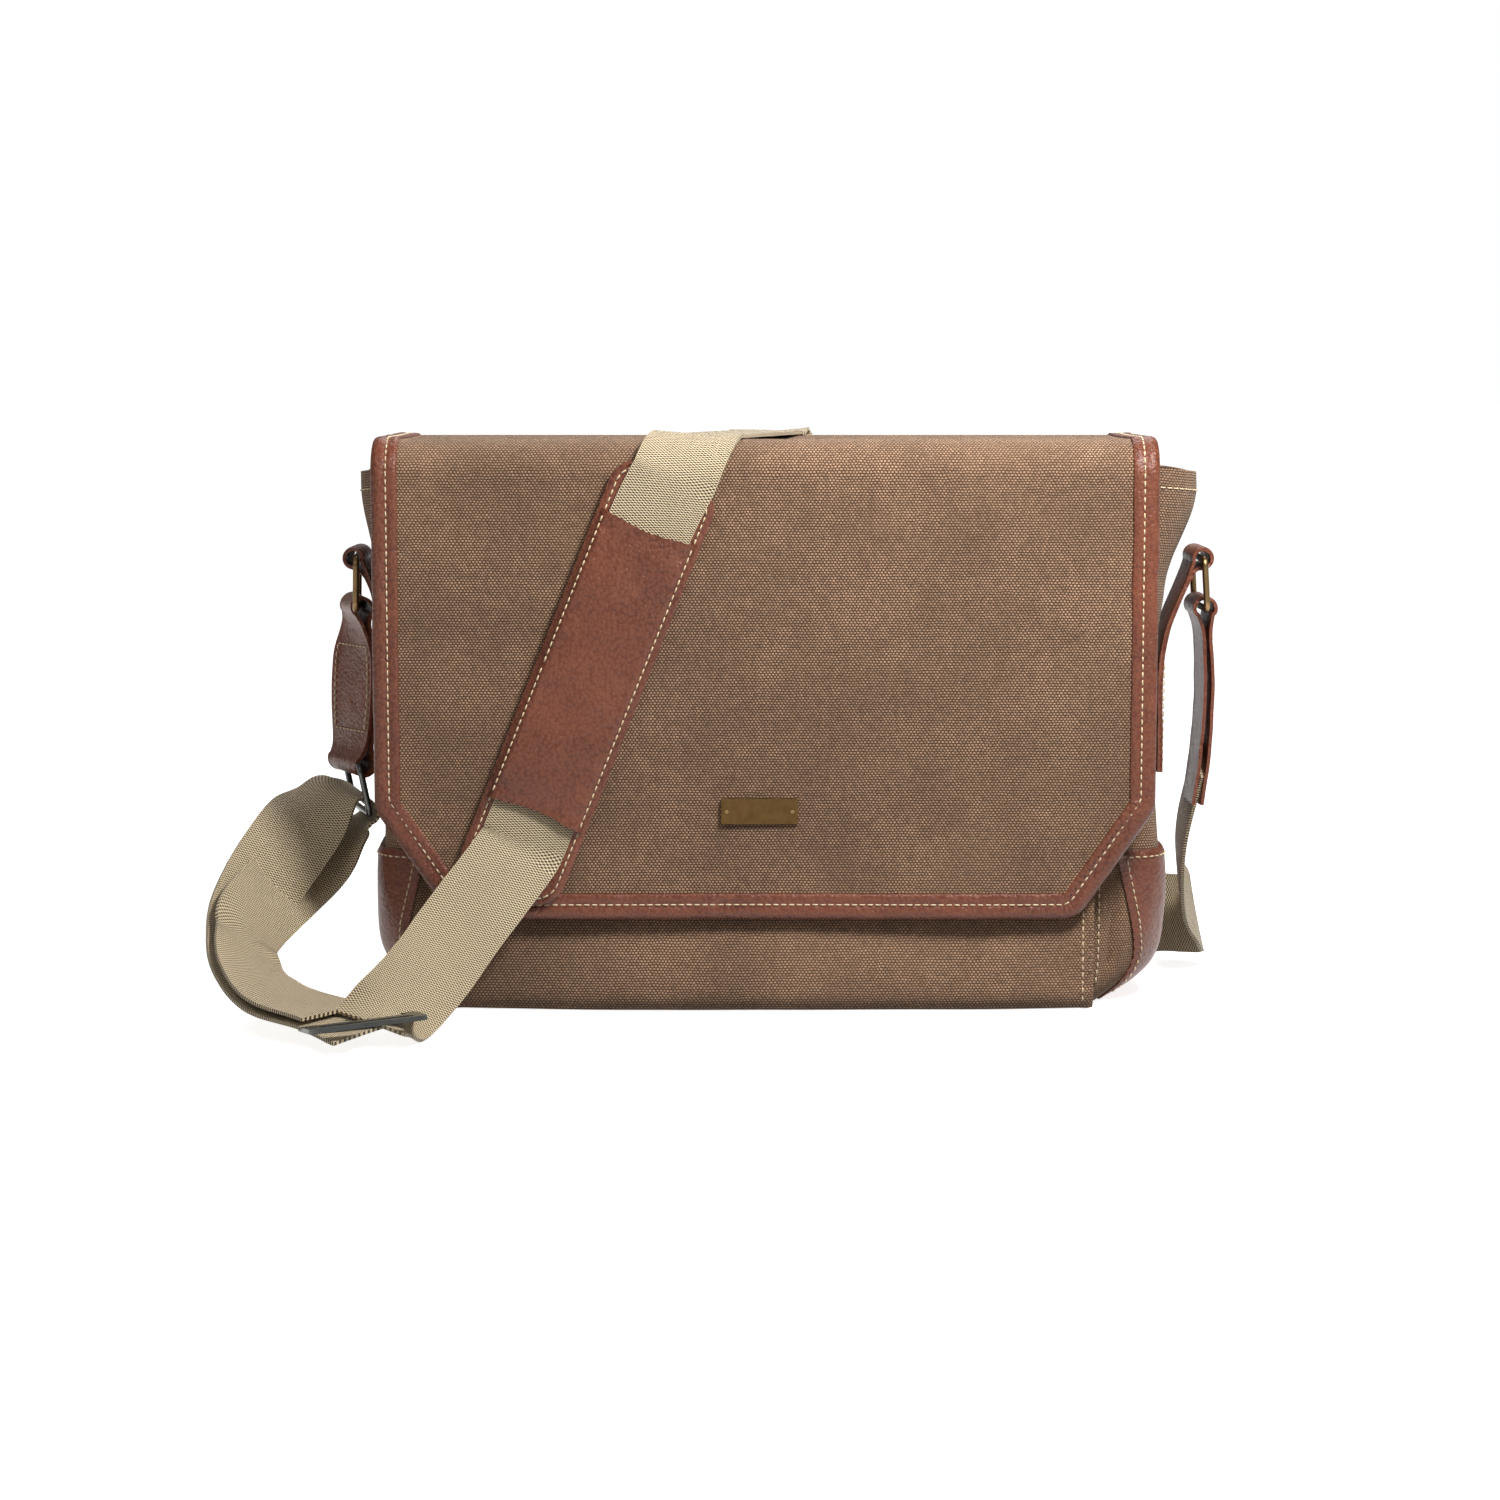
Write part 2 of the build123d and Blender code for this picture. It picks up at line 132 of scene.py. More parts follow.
class Shade:
    """One material's node tree."""

    def __init__(self, name):
        self.material = bpy.data.materials.new(name)
        self.material.use_nodes = True
        self.tree = self.material.node_tree
        self.shader = self.tree.nodes["Principled BSDF"]

    def node(self, kind, settings=None, inputs=(), output=0):
        """Add a node, give its settings and its sockets' values or links, and return one output."""
        made = self.tree.nodes.new(kind)
        for key, value in (settings or {}).items():
            setattr(made, key, value)
        pairs = inputs.items() if isinstance(inputs, dict) else enumerate(inputs)
        for key, value in pairs:
            self.feed(made.inputs[key], value)
        return Value(self, made.outputs[output])

    def feed(self, socket, value):
        if isinstance(value, Value):
            self.tree.links.new(value.socket, socket)
        else:
            socket.default_value = value

    def place(self):
        """Object coordinates."""
        return self.node("ShaderNodeTexCoord", output="Object")

    def laid(self):
        """The piece's own flat coordinates, in metres, as two numbers."""
        flat = self.node("ShaderNodeUVMap", {"uv_map": "flat"})
        split = self.tree.nodes.new("ShaderNodeSeparateXYZ")
        self.tree.links.new(flat.socket, split.inputs[0])
        return Value(self, split.outputs[0]), Value(self, split.outputs[1])

    def cloud(self, scale, detail=2.0, rough=0.5, where=None):
        """Noise from 0 to 1."""
        inputs = {"Vector": where or self.place(), "Scale": scale, "Detail": detail, "Roughness": rough}
        return self.node("ShaderNodeTexNoise", {}, inputs, "Fac")

    def span(self, value, low, high):
        """Smooth step of value between two levels."""
        return self.node("ShaderNodeMapRange", {"interpolation_type": "SMOOTHSTEP"}, [value, low, high])

    def mix(self, share, a, b):
        """Colour between a and b."""
        made = self.tree.nodes.new("ShaderNodeMix")
        made.data_type = "RGBA"
        for key, value in ((0, share), (6, a), (7, b)):
            self.feed(made.inputs[key], value)
        return Value(self, made.outputs[2])

    def bump(self, height, strength, distance, below=None):
        inputs = {"Height": height, "Strength": strength, "Distance": distance}
        if below:
            inputs["Normal"] = below
        return self.node("ShaderNodeBump", {}, inputs)

    def done(self, **sockets):
        for key, value in sockets.items():
            self.feed(self.shader.inputs[key.replace("_", " ")], value)
        return self.material


def wave(value):
    """Triangle wave from 0 to 1, with its peak at each half."""
    return 1 - (value.math("FRACT") * 2 - 1).math("ABSOLUTE")


def paler(colour, factor):
    return tuple(min(c * factor, 1) for c in colour[:3]) + (1,)


def canvas_material(name, dark, light):
    """Coarse basket weave: pale yarn floats in brick order over a darker ground."""
    s = Shade(name)
    u, v = s.laid()
    wobble = s.cloud(210.0, 1.0) - 0.5
    a = u / YARN[0] + wobble * 0.7
    b = v / YARN[1] + (s.cloud(150.0, 1.0) - 0.5) * 0.7
    shift = (b.math("FLOOR") * 0.5).math("FRACT")
    float_x = s.span(wave(a + shift), 0.16, 0.66)
    float_y = s.span(wave(b), 0.08, 0.56)
    pick = float_x * float_y
    warp = s.span(wave(a + shift + 0.5), 0.3, 0.9)
    slub = s.cloud(420.0, 2.0)
    patches = s.cloud(9.0, 3.0, 0.6)
    wear = s.span(s.cloud(26.0, 4.0, 0.65), 0.35, 0.75)
    brightness = pick * (0.25 + slub * 1.15) * (0.75 + wear * 0.4)
    ground = s.mix(patches, dark, paler(dark, 1.35))
    ground = s.mix(warp * 0.13, ground, light)
    colour = s.mix(brightness.math("MINIMUM", 1.0), ground, light)
    colour = s.mix(s.span(patches, 0.45, 0.8) * 0.1, colour, paler(light, 1.15))
    height = pick * 0.7 + warp * 0.3 + slub * 0.35
    fuzz = s.cloud(2600.0, 2.0)
    bumps = s.bump(height + fuzz * 0.2, 0.85, 0.0006)
    return s.done(
        Base_Color=colour, Roughness=0.92, Specular_IOR_Level=0.18, Normal=bumps,
        Sheen_Weight=0.25, Sheen_Roughness=0.6, Sheen_Tint=(0.8, 0.68, 0.55, 1),
    )


def leather_material(name, deep, mid, pale, roughness):
    """Pebbled pull-up leather, darker in the grain's valleys and paler where it is rubbed."""
    s = Shade(name)
    spot = s.place()
    warped = s.cloud(60.0, 2.0, where=spot)
    inputs = {"Vector": spot, "Scale": 620.0, "Smoothness": 0.6}
    cells = s.node("ShaderNodeTexVoronoi", {"feature": "SMOOTH_F1"}, inputs, "Distance")
    fine = s.cloud(1900.0, 3.0, 0.6, spot)
    creases = s.span(s.cloud(95.0, 4.0, 0.7, spot), 0.42, 0.6)
    blotch = s.cloud(17.0, 3.0, 0.6, spot)
    colour = s.mix(s.span(blotch, 0.25, 0.75), deep, mid)
    colour = s.mix(s.span(warped, 0.52, 0.85) * 0.3, colour, pale)
    colour = s.mix(s.span(cells, 0.75, 0.35) * 0.22, colour, pale)
    colour = s.mix(s.span(fine, 0.62, 0.8) * 0.2, colour, deep)
    pebble = s.bump(1 - cells + fine * 0.35, 0.8, 0.00045)
    shaped = s.bump(creases, 0.3, 0.0006, pebble)
    return s.done(
        Base_Color=colour, Roughness=roughness + (fine - 0.5) * 0.2, Specular_IOR_Level=0.4, Normal=shaped
    )


def webbing_material(name, dark, light):
    """Flat nylon webbing: fine ribs across, with painted shade in the small gaps between the yarns."""
    s = Shade(name)
    u, v = s.laid()
    a = u / 0.00140
    b = v / 0.00122
    shift = (a.math("FLOOR") * 0.5).math("FRACT")
    rib = wave(b + shift)
    column = wave(a)
    gap = s.span(rib, 0.60, 0.20) * s.span(column, 0.06, 0.36)
    sheen = s.cloud(14.0, 2.0)
    colour = s.mix(s.span(rib, 0.1, 0.8) * (0.65 + sheen * 0.5), dark, light)
    # near-black painted shade in the gaps between the yarns
    colour = s.mix(gap, colour, paler(dark, 0.2))
    thread = s.cloud(3200.0, 2.0)
    bumps = s.bump(rib * 0.7 + column * 0.25 - gap * 0.6 + thread * 0.15, 0.8, 0.00035)
    return s.done(
        Base_Color=colour, Roughness=0.62, Specular_IOR_Level=0.35, Normal=bumps, Sheen_Weight=0.15
    )


def metal_material(name, dark, bright, rough):
    """Plated metal with a worn, slightly uneven finish."""
    s = Shade(name)
    patches = s.cloud(180.0, 4.0, 0.65)
    fine = s.cloud(2200.0, 2.0)
    colour = s.mix(s.span(patches, 0.3, 0.8) * 0.45, bright, dark)
    bumps = s.bump(fine, 0.06, 0.0001)
    return s.done(
        Base_Color=colour, Metallic=1.0, Roughness=rough + (patches - 0.5) * 0.12, Normal=bumps
    )


def plain_weave(name, dark, light, yarn):
    """Fine plain weave for the lining and the zip's tape."""
    s = Shade(name)
    u, v = s.laid()
    over = wave(u / yarn) * wave(v / yarn)
    tone = s.cloud(40.0, 3.0)
    colour = s.mix(s.span(over, 0.1, 0.8) * (0.5 + tone * 0.5), dark, light)
    bumps = s.bump(over, 0.5, 0.0002)
    return s.done(Base_Color=colour, Roughness=0.85, Specular_IOR_Level=0.2, Normal=bumps, Sheen_Weight=0.2)


def thread_material():
    """Waxed cream sewing thread."""
    s = Shade("cream_thread")
    tone = s.cloud(300.0, 2.0)
    colour = s.mix(tone, (0.60, 0.43, 0.24, 1), (0.86, 0.72, 0.50, 1))
    bumps = s.bump(s.cloud(4200.0, 1.0), 0.5, 0.0001)
    return s.done(Base_Color=colour, Roughness=0.6, Normal=bumps)


CANVAS_BROWN = canvas_material("brown_canvas", (0.023, 0.0095, 0.005, 1), (0.565, 0.335, 0.202, 1))
# darker copy of the canvas with painted shade, used on the bag's underside and in the pocket's side folds
CANVAS_PAINTED_SHADE = canvas_material("painted_shade_canvas", (0.032, 0.016, 0.009, 1), (0.42, 0.28, 0.18, 1))
LEATHER = leather_material(
    "red_brown_leather", (0.085, 0.020, 0.009, 1), (0.165, 0.041, 0.018, 1), (0.35, 0.122, 0.060, 1), 0.40
)
WEBBING = webbing_material("khaki_webbing", (0.20, 0.135, 0.072, 1), (0.82, 0.665, 0.43, 1))
BRASS = metal_material("antique_brass", (0.10, 0.065, 0.028, 1), (0.24, 0.155, 0.07, 1), 0.36)
PLATE_BRASS = metal_material("plate_brass", (0.035, 0.019, 0.007, 1), (0.115, 0.066, 0.024, 1), 0.42)
GUNMETAL = metal_material("gunmetal", (0.045, 0.048, 0.048, 1), (0.10, 0.105, 0.10, 1), 0.3)
NICKEL = metal_material("nickel", (0.14, 0.135, 0.125, 1), (0.34, 0.33, 0.31, 1), 0.32)
LINING = plain_weave("cotton_lining", (0.13, 0.10, 0.07, 1), (0.36, 0.30, 0.22, 1), 0.0006)
ZIP_TAPE = plain_weave("zip_tape", (0.035, 0.025, 0.018, 1), (0.10, 0.075, 0.055, 1), 0.0007)
THREAD = thread_material()
BOARD = Shade("stiff_board").done(Base_Color=(0.12, 0.10, 0.08, 1), Roughness=0.8)
# near-black colour: painted shade inside the empty needle holes
NEEDLE_HOLE_SHADE = Shade("needle_hole").done(Base_Color=(0.012, 0.005, 0.003, 1), Roughness=0.9)


# ---- pieces -------------------------------------------------------------------------


def clear_selection():
    bpy.ops.object.select_all(action="DESELECT")


def choose(obj):
    clear_selection()
    obj.select_set(True)
    bpy.context.view_layer.objects.active = obj


def modifier(obj, kind, **settings):
    """Add a modifier and apply it."""
    made = obj.modifiers.new(kind.title(), kind)
    for key, value in settings.items():
        setattr(made, key, value)
    choose(obj)
    bpy.ops.object.modifier_apply(modifier=made.name)


def cloth(name, rows, flat, material, thick=0.0, flip=False, offset=-1.0):
    """Sheet through rows of points, each with flat coordinates in metres, thickened to its back."""
    if flip:
        rows = [list(reversed(row)) for row in rows]
        flat = [list(reversed(row)) for row in flat]
    columns = len(rows[0])
    points = [p for row in rows for p in row]
    laid = [uv for row in flat for uv in row]
    faces = []
    for i in range(len(rows) - 1):
        for j in range(columns - 1):
            a = i * columns + j
            faces.append((a, a + 1, a + columns + 1, a + columns))
    mesh = bpy.data.meshes.new(name)
    mesh.from_pydata(points, [], faces)
    layer = mesh.uv_layers.new(name="flat")
    for loop in mesh.loops:
        layer.data[loop.index].uv = laid[loop.vertex_index]
    mesh.shade_smooth()
    obj = bpy.data.objects.new(name, mesh)
    bpy.context.scene.collection.objects.link(obj)
    obj.data.materials.append(material)
    if thick:
        modifier(obj, "SOLIDIFY", thickness=thick, offset=offset, use_rim=True)
        choose(obj)
        bpy.ops.object.shade_smooth_by_angle(angle=math.radians(50))
    return obj


def settle(obj, body, slot, *nodes):
    """Attach a piece to the body it rides on and hide the nodes it stands for; the slot is not used."""
    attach(obj, body)
    if nodes:
        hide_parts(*nodes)
    return obj


def settle_bending(obj, slot, start, end, *nodes):
    """For a piece between the body and the flap: hide the nodes it stands for and bake its placement into
    its mesh; it rides on no body and does not bend, and the slot and the two places are not used.
    """
    if nodes:
        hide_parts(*nodes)
    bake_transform(obj)


def spaced(points, pitch, start=0.0):
    """Evenly spaced places along a line of points, each with the line's direction there."""
    lengths = [0.0]
    for a, b in zip(points, points[1:]):
        lengths.append(lengths[-1] + (b - a).length)
    count = int((lengths[-1] - start) / pitch)
    found = []
    k = 0
    for i in range(count + 1):
        at = start + i * pitch
        while k < len(points) - 2 and lengths[k + 1] < at:
            k += 1
        share = (at - lengths[k]) / max(lengths[k + 1] - lengths[k], 1e-9)
        found.append((points[k].lerp(points[k + 1], share), (points[k + 1] - points[k]).normalized()))
    return found


def stitch_form(length, thick):
    """One stitch along x, plump in the middle and sunk at its ends."""
    half = ((-0.5, 0.45, -0.35), (-0.36, 0.85, 0.15), (0.0, 1.0, 0.42))
    points = []
    for x, size, lift in half + tuple((-x, size, lift) for x, size, lift in half[1::-1]):
        for k in range(6):
            turn = k * math.pi / 3
            height = math.sin(turn) * size / 2 + lift
            points.append(Vector((x * length, math.cos(turn) * size * thick / 2, height * thick)))
    faces = []
    for ring in range(0, 24, 6):
        for k in range(6):
            beside = (k + 1) % 6
            faces.append((ring + k, ring + beside, ring + 6 + beside, ring + 6 + k))
    faces += [tuple(range(5, -1, -1)), tuple(range(24, 30))]
    return points, faces


def stitches(name, lines, pitch=0.0037, length=0.0029, thick=0.0008, skew=0.0, material=THREAD):
    """Rows of stitches. A line is a list of (point, outward normal) pairs."""
    form, form_faces = stitch_form(length, thick)
    points = []
    faces = []
    for line in lines:
        for where, along in spaced([p for p, n in line], pitch, pitch * 0.5):
            normal = min(line, key=lambda pair: (pair[0] - where).length_squared)[1]
            side = normal.cross(along).normalized()
            along = side.cross(normal).normalized()
            turned = along * math.cos(skew) + side * math.sin(skew)
            across = normal.cross(turned)
            base = len(points)
            points += [where + turned * p.x + across * p.y + normal * p.z for p in form]
            faces += [tuple(base + k for k in face) for face in form_faces]
    mesh = bpy.data.meshes.new(name)
    mesh.from_pydata(points, [], faces)
    mesh.shade_smooth()
    obj = bpy.data.objects.new(name, mesh)
    bpy.context.scene.collection.objects.link(obj)
    obj.data.materials.append(material)
    return obj


def swell(point, scale, amount, seed=0.0):
    """Smooth, repeatable unevenness of cloth, as a signed distance."""
    return noise.noise(Vector(point) * scale + Vector((seed, seed * 1.7, seed * 0.6))) * amount


def smooth(value, low, high):
    """Smooth step from 0 at low to 1 at high."""
    share = min(max((value - low) / (high - low), 0.0), 1.0)
    return share * share * (3 - 2 * share)


def hump(value, middle, width):
    """Bell curve of height 1."""
    return math.exp(-(((value - middle) / width) ** 2))


def arch(value, length):
    """Half a sine wave over a length, flat outside it."""
    return math.sin(math.pi * min(max(value / length, 0), 1))


def steps(low, high, count):
    return [low + (high - low) * k / count for k in range(count + 1)]


# ---- canvas body ---------------------------------------------------------------------


def half_wide(z, side):
    """Half width of the bag at a height: it draws in at the ring tabs and flares at the rim."""
    flare = 0.0155 if side > 0 else 0.0085
    wide = HALF_WIDE_BASE + (HALF_WIDE_WAIST - HALF_WIDE_BASE) * min(z / WAIST_Z, 1)
    belly = 0.0010 * arch(z, WAIST_Z)
    belly -= (0.0040 if side > 0 else 0.0026) * smooth(z, 0.05, 0.11) * (1 - smooth(z, 0.165, 0.200))
    return wide + belly + flare * smooth(z, 0.196, 0.247) - 0.026 * max(1 - z / 0.046, 0) ** 4


def half_deep(z):
    deep = HALF_DEEP - 0.001 + 0.0015 * arch(z, RIM_Z)
    return deep - 0.007 * max(1 - z / 0.022, 0) ** 3


def gusset_point(side, share, z, out=0.0):
    """Point of the side of the bag: share runs from the front seam round to the back seam."""
    wide = half_wide(z, side)
    deep = half_deep(z)
    radius = CORNER + 0.02 * max(1 - z / 0.05, 0) ** 2 + 0.006 * smooth(z, 0.2, RIM_Z)
    across = min(radius, wide - SEAM_X)
    flat = wide - across - SEAM_X
    bend = (radius + across) * math.pi / 4
    middle = 2 * (deep - radius)
    total = 2 * flat + 2 * bend + middle
    at = share * total
    mirrored = at > total / 2
    if mirrored:
        at = total - at
    if at < flat:
        x, y, nx, ny = SEAM_X + at, -deep, 0.0, -1.0
    elif at < flat + bend:
        turn = (at - flat) / bend * math.pi / 2
        nx, ny = math.sin(turn), -math.cos(turn)
        x, y = wide - across + across * nx, -deep + radius + radius * ny
    else:
        x, y, nx, ny = wide, -deep + radius + at - flat - bend, 1.0, 0.0
    if mirrored:
        y, ny = -y, -ny
    under_tab = (1 - smooth(abs(y), 0.018, 0.028)) * smooth(z, 0.08, 0.105) * (1 - smooth(z, 0.19, 0.215))
    out += swell((side * x, y, z * 0.7), 28.0, 0.0018, 3.0) * smooth(z, 0.0, 0.03) * (1 - 0.8 * under_tab)
    fold = hump(share, 0.13 + 0.25 * z, 0.05) + hump(share, 0.87 - 0.2 * z, 0.05)
    out -= 0.0026 * fold * smooth(z, 0.02, 0.08) * (1 - smooth(z, 0.12, 0.24))
    tuck = hump(min(share, 1 - share), 0.045 + 0.5 * z, 0.022)
    out -= 0.0034 * tuck * smooth(z, 0.004, 0.02) * (1 - smooth(z, 0.05, 0.075))
    return Vector((side * (x + nx * out), y + ny * out, z))


def rim_height(share):
    """The top edge of a gusset dips in the middle of the side."""
    return RIM_Z - 0.004 * math.sin(math.pi * share) ** 2


def gusset(side, name, node):
    levels = steps(FOOT, 1.0, 72)
    shares = steps(0.0, 1.0, 48)
    rows = [[gusset_point(side, t, rim_height(t) * h) for t in shares] for h in levels]
    flat = [[(t * 0.16 + 0.4 * side, RIM_Z * h) for t in shares] for h in levels]
    piece = cloth(name, rows, flat, CANVAS_BROWN, CANVAS, side < 0)
    return settle(piece, "root", "canvas", node)


def front_point(x, z, face):
    """Front (-1) or back (+1) wall between the gussets."""
    out = half_deep(z) + swell((x, face, z), 16.0, 0.0016, 5.0) * smooth(SEAM_X - abs(x), 0, 0.03)
    if face > 0:
        out += 0.0015 * arch(z, 0.2) * math.cos(x / SEAM_X * math.pi / 2)
    return Vector((x, face * out, z))


def wall(face, name, node):
    levels = steps(FOOT, RIM_Z, 50)
    across = steps(-SEAM_X, SEAM_X, 60)
    rows = [[front_point(x, z, face) for x in across] for z in levels]
    flat = [[(x, z) for x in across] for z in levels]
    piece = cloth(name, rows, flat, CANVAS_BROWN, CANVAS, face > 0)
    return settle(piece, "root", "canvas", node)


def base_outline():
    """Points round the foot of the bag, in order."""
    z = FOOT
    found = [front_point(x, z, -1) for x in steps(-SEAM_X, SEAM_X, 40)]
    found += [gusset_point(1, t, z) for t in steps(0, 1, 30)]
    found += [front_point(x, z, 1) for x in steps(SEAM_X, -SEAM_X, 40)]
    found += [gusset_point(-1, t, z) for t in steps(1, 0, 30)]
    return found


def filled(outline, z, shares):
    """Rings of points from an outline in to its middle at a height, and their flat coordinates."""
    rows = [[Vector((p.x * r, p.y * r, z)) for p in outline] for r in shares]
    return rows, [[(p.x, p.y) for p in row] for row in rows]


rows, flat = filled(base_outline(), 0.0, (0.994, 0.97, 0.85, 0.6, 0.3, 0.02))
# the underside takes the canvas copy with painted shade
base = cloth("base_canvas", rows, flat, CANVAS_PAINTED_SHADE)
modifier(base, "SOLIDIFY", thickness=0.0022, offset=1.0, use_rim=True)
base.data.transform(Matrix.Translation((0, 0, -min(v.co.z for v in base.data.vertices))))
settle(base, "root", "canvas", "base_panel")
rows, flat = filled(base_outline(), 0.0046, (0.93, 0.7, 0.4, 0.02))
settle(cloth("stiff_board", rows, flat, BOARD, 0.0018), "root", "board", "base_board")
gusset(-1, "left_gusset_canvas", "left_gusset")
gusset(1, "right_gusset_canvas", "right_gusset")
wall(-1, "front_wall_canvas", "front_panel")
wall(1, "back_wall_canvas", "back_panel")


def patch_border(z):
    """Share of the gusset where the leather corner patch starts, at a height."""
    knots = ((0.0, 0.18), (0.005, 0.19), (0.022, 0.165), (0.036, 0.141), (0.066, 0.09), (PATCH_TOP, 0.075))
    for (za, sa), (zb, sb) in zip(knots, knots[1:]):
        if z <= zb:
            return sa + (sb - sa) * (z - za) / (zb - za) + 0.03 * max((z - 0.069) / 0.005, 0) ** 2
    return knots[-1][1]


def corner_patch(side, name, node):
    levels = steps(0.0, PATCH_TOP, 34)
    shares = steps(0.0, 1.0, 48)

    def at(share, z, out):
        low = patch_border(z)
        edge = min(share, 1 - share)
        thin = 0.0012 * (1 - smooth(edge, 0.0, 0.03)) + 0.0010 * smooth(z, PATCH_TOP - 0.002, PATCH_TOP)
        pucker = 0.0005 * math.sin(z * 1500) * (1 - smooth(edge, 0.01, 0.07))
        puff = 0.0009 * arch(share, 1) + swell((share * 3, z * 20, side), 2.0, 0.0008)
        return gusset_point(side, low + (1 - 2 * low) * share, max(z, 0.0004), out - thin + pucker + puff)

    rows = [[at(t, z, 0.0024) for t in shares] for z in levels]
    flat = [[(t * 0.12, z) for t in shares] for z in levels]
    piece = cloth(name, rows, flat, LEATHER, 0.002, side < 0)
    settle(piece, "root", "leather", node)

    def seam(share, z):
        return at(share, z, 0.0023), (at(share, z, 0.0036) - at(share, z, 0.0026)).normalized()

    top = [seam(t, PATCH_TOP - 0.0034) for t in steps(0.04, 0.96, 60)]
    ends = [[seam(t, z) for z in steps(0.004, PATCH_TOP - 0.004, 30)] for t in (0.035, 0.965)]
    settle(stitches(name + "_stitches", [top, *ends]), "root", "leather")


corner_patch(-1, "left_corner_leather", "left_corner_patch")
corner_patch(1, "right_corner_leather", "right_corner_patch")


# ---- front pocket ----------------------------------------------------------------------

POCKET_HALF = 0.1524
POCKET_TOP = 0.186
FORWARD = Vector((0, -1, 0))


def pocket_point(x, z, out=0.0):
    """Point of the pocket's front: it bellies at its foot and has a ridge along its side seams."""
    middle = math.cos(min(abs(x) / POCKET_HALF, 1) * math.pi / 2) ** 0.5
    belly = 0.0080 * smooth(0.046 - z, 0.0, 0.04) * middle
    ridge = 0.0018 * hump(abs(x), 0.1503, 0.0016) + 0.0006 * math.sin(z * 900) * smooth(abs(x), 0.142, 0.15)
    tuck = 0.004 * max(1 - z / 0.008, 0) ** 2
    wave_out = swell((x, 0, z * 1.4), 22.0, 0.0016, 9.0) * (1 - smooth(z, 0.05, 0.09))
    return Vector((x, -0.0600 - belly - ridge + tuck - wave_out - out, z))


levels = steps(0.0006, POCKET_TOP, 60)
across = steps(-POCKET_HALF, POCKET_HALF, 96)
rows = [[pocket_point(x, z) for x in across] for z in levels]
flat = [[(x, z) for x in across] for z in levels]
pocket = cloth("pocket_canvas", rows, flat, CANVAS_BROWN, 0.0024)
settle(pocket, "root", "canvas", "front_pocket_panel")


def pocket_gusset_point(side, share, z):
    """Fold between the pocket's edge and the front wall."""
    front = pocket_point(0.1508, z).y + 0.0016
    y = front + (-half_deep(z) - 0.0004 - front) * share
    x = 0.1512 - 0.0035 * arch(share, 1) + 0.0012 * share + swell((y, z, side), 40.0, 0.0008)
    return Vector((side * x, y, z))


for side, name in ((-1, "left_pocket_fold"), (1, "right_pocket_fold")):
    rows = [[pocket_gusset_point(side, t, z) for t in steps(0, 1, 6)] for z in steps(0.003, 0.174, 50)]
    flat = [[(t * 0.012, z) for t in steps(0, 1, 6)] for z in steps(0.003, 0.174, 50)]
    # the folds take the canvas copy with painted shade
    fold = cloth(name, rows, flat, CANVAS_PAINTED_SHADE, 0.0016, side < 0)
    settle(fold, "root", "canvas", "front_pocket_gusset")

lines = []
for x in (-0.1472, 0.1472):
    lines.append([(pocket_point(x, z, 0.0002), FORWARD) for z in steps(0.004, 0.182, 60)])
lines.append([(pocket_point(x, 0.178, 0.0002), FORWARD) for x in steps(-0.148, 0.148, 60)])
settle(stitches("pocket_stitches", lines), "root", "canvas")

# hem round the open top, and the topstitching beside the gusset seams
HEM = 0.009


def gusset_pair(side, share, z):
    low = gusset_point(side, share, z)
    return low, (gusset_point(side, share, z, 0.001) - low).normalized()


lines = []
for side in (-1, 1):
    lines.append([gusset_pair(side, t, rim_height(t) - HEM) for t in steps(0.02, 0.98, 80)])
for face, share in ((-1, 0.02), (1, 0.98)):
    lines.append([
        (front_point(x, RIM_Z - HEM, face), Vector((0, face, 0))) for x in steps(-SEAM_X, SEAM_X, 60)
    ])
    lines += [[gusset_pair(side, share, z) for z in steps(0.01, 0.25, 80)] for side in (-1, 1)]
settle(stitches("body_stitches", lines), "root", "canvas")


# ---- inside ----------------------------------------------------------------------------


def inner_loop(z, out):
    """Points round the body at a height, a distance out from the canvas."""
    found = [front_point(x, z, -1) + Vector((0, -out, 0)) for x in steps(-SEAM_X, SEAM_X, 40)]
    found += [gusset_point(1, t, z, out) for t in steps(0, 1, 30)][1:]
    found += [front_point(x, z, 1) + Vector((0, out, 0)) for x in steps(SEAM_X, -SEAM_X, 40)][1:]
    found += [gusset_point(-1, t, z, out) for t in steps(1, 0, 30)][1:]
    return found


rows = [inner_loop(z, -0.0042) for z in steps(0.0066, 0.2505, 34)]
around = [0.0]
for a, b in zip(rows[20], rows[20][1:]):
    around.append(around[-1] + (b - a).length)
flat = [[(s, row[0].z) for s in around] for row in rows]
lining = cloth("lining_wall", rows, flat, LINING, 0.0010, True, 1.0)
settle(lining, "root", "lining", "lining")
rows, flat = filled(inner_loop(0.0068, -0.005), 0.0070, (1.0, 0.8, 0.5, 0.2, 0.02))
floor_cloth = cloth("lining_floor", rows, flat, LINING, 0.0010)
settle(floor_cloth, "root", "lining")


SLEEVE_HALF = 0.158
SLEEVE_FOOT = 0.0075
SLEEVE_TOP = 0.222
ZIP_HALF = 0.112


def sleeve_point(x, z):
    puff = 0.0012 * arch(z - 0.006, 0.216) * math.cos(x / SLEEVE_HALF * math.pi / 2)
    return Vector((x, 0.0222 - puff, z))


def upright(point, half, low, high, columns, levels):
    """Rows of points of a panel that faces the front, and their flat coordinates."""
    rows = [[point(x, z) for x in steps(-half, half, columns)] for z in steps(low, high, levels)]
    return rows, [[(p.x, p.z) for p in row] for row in rows]


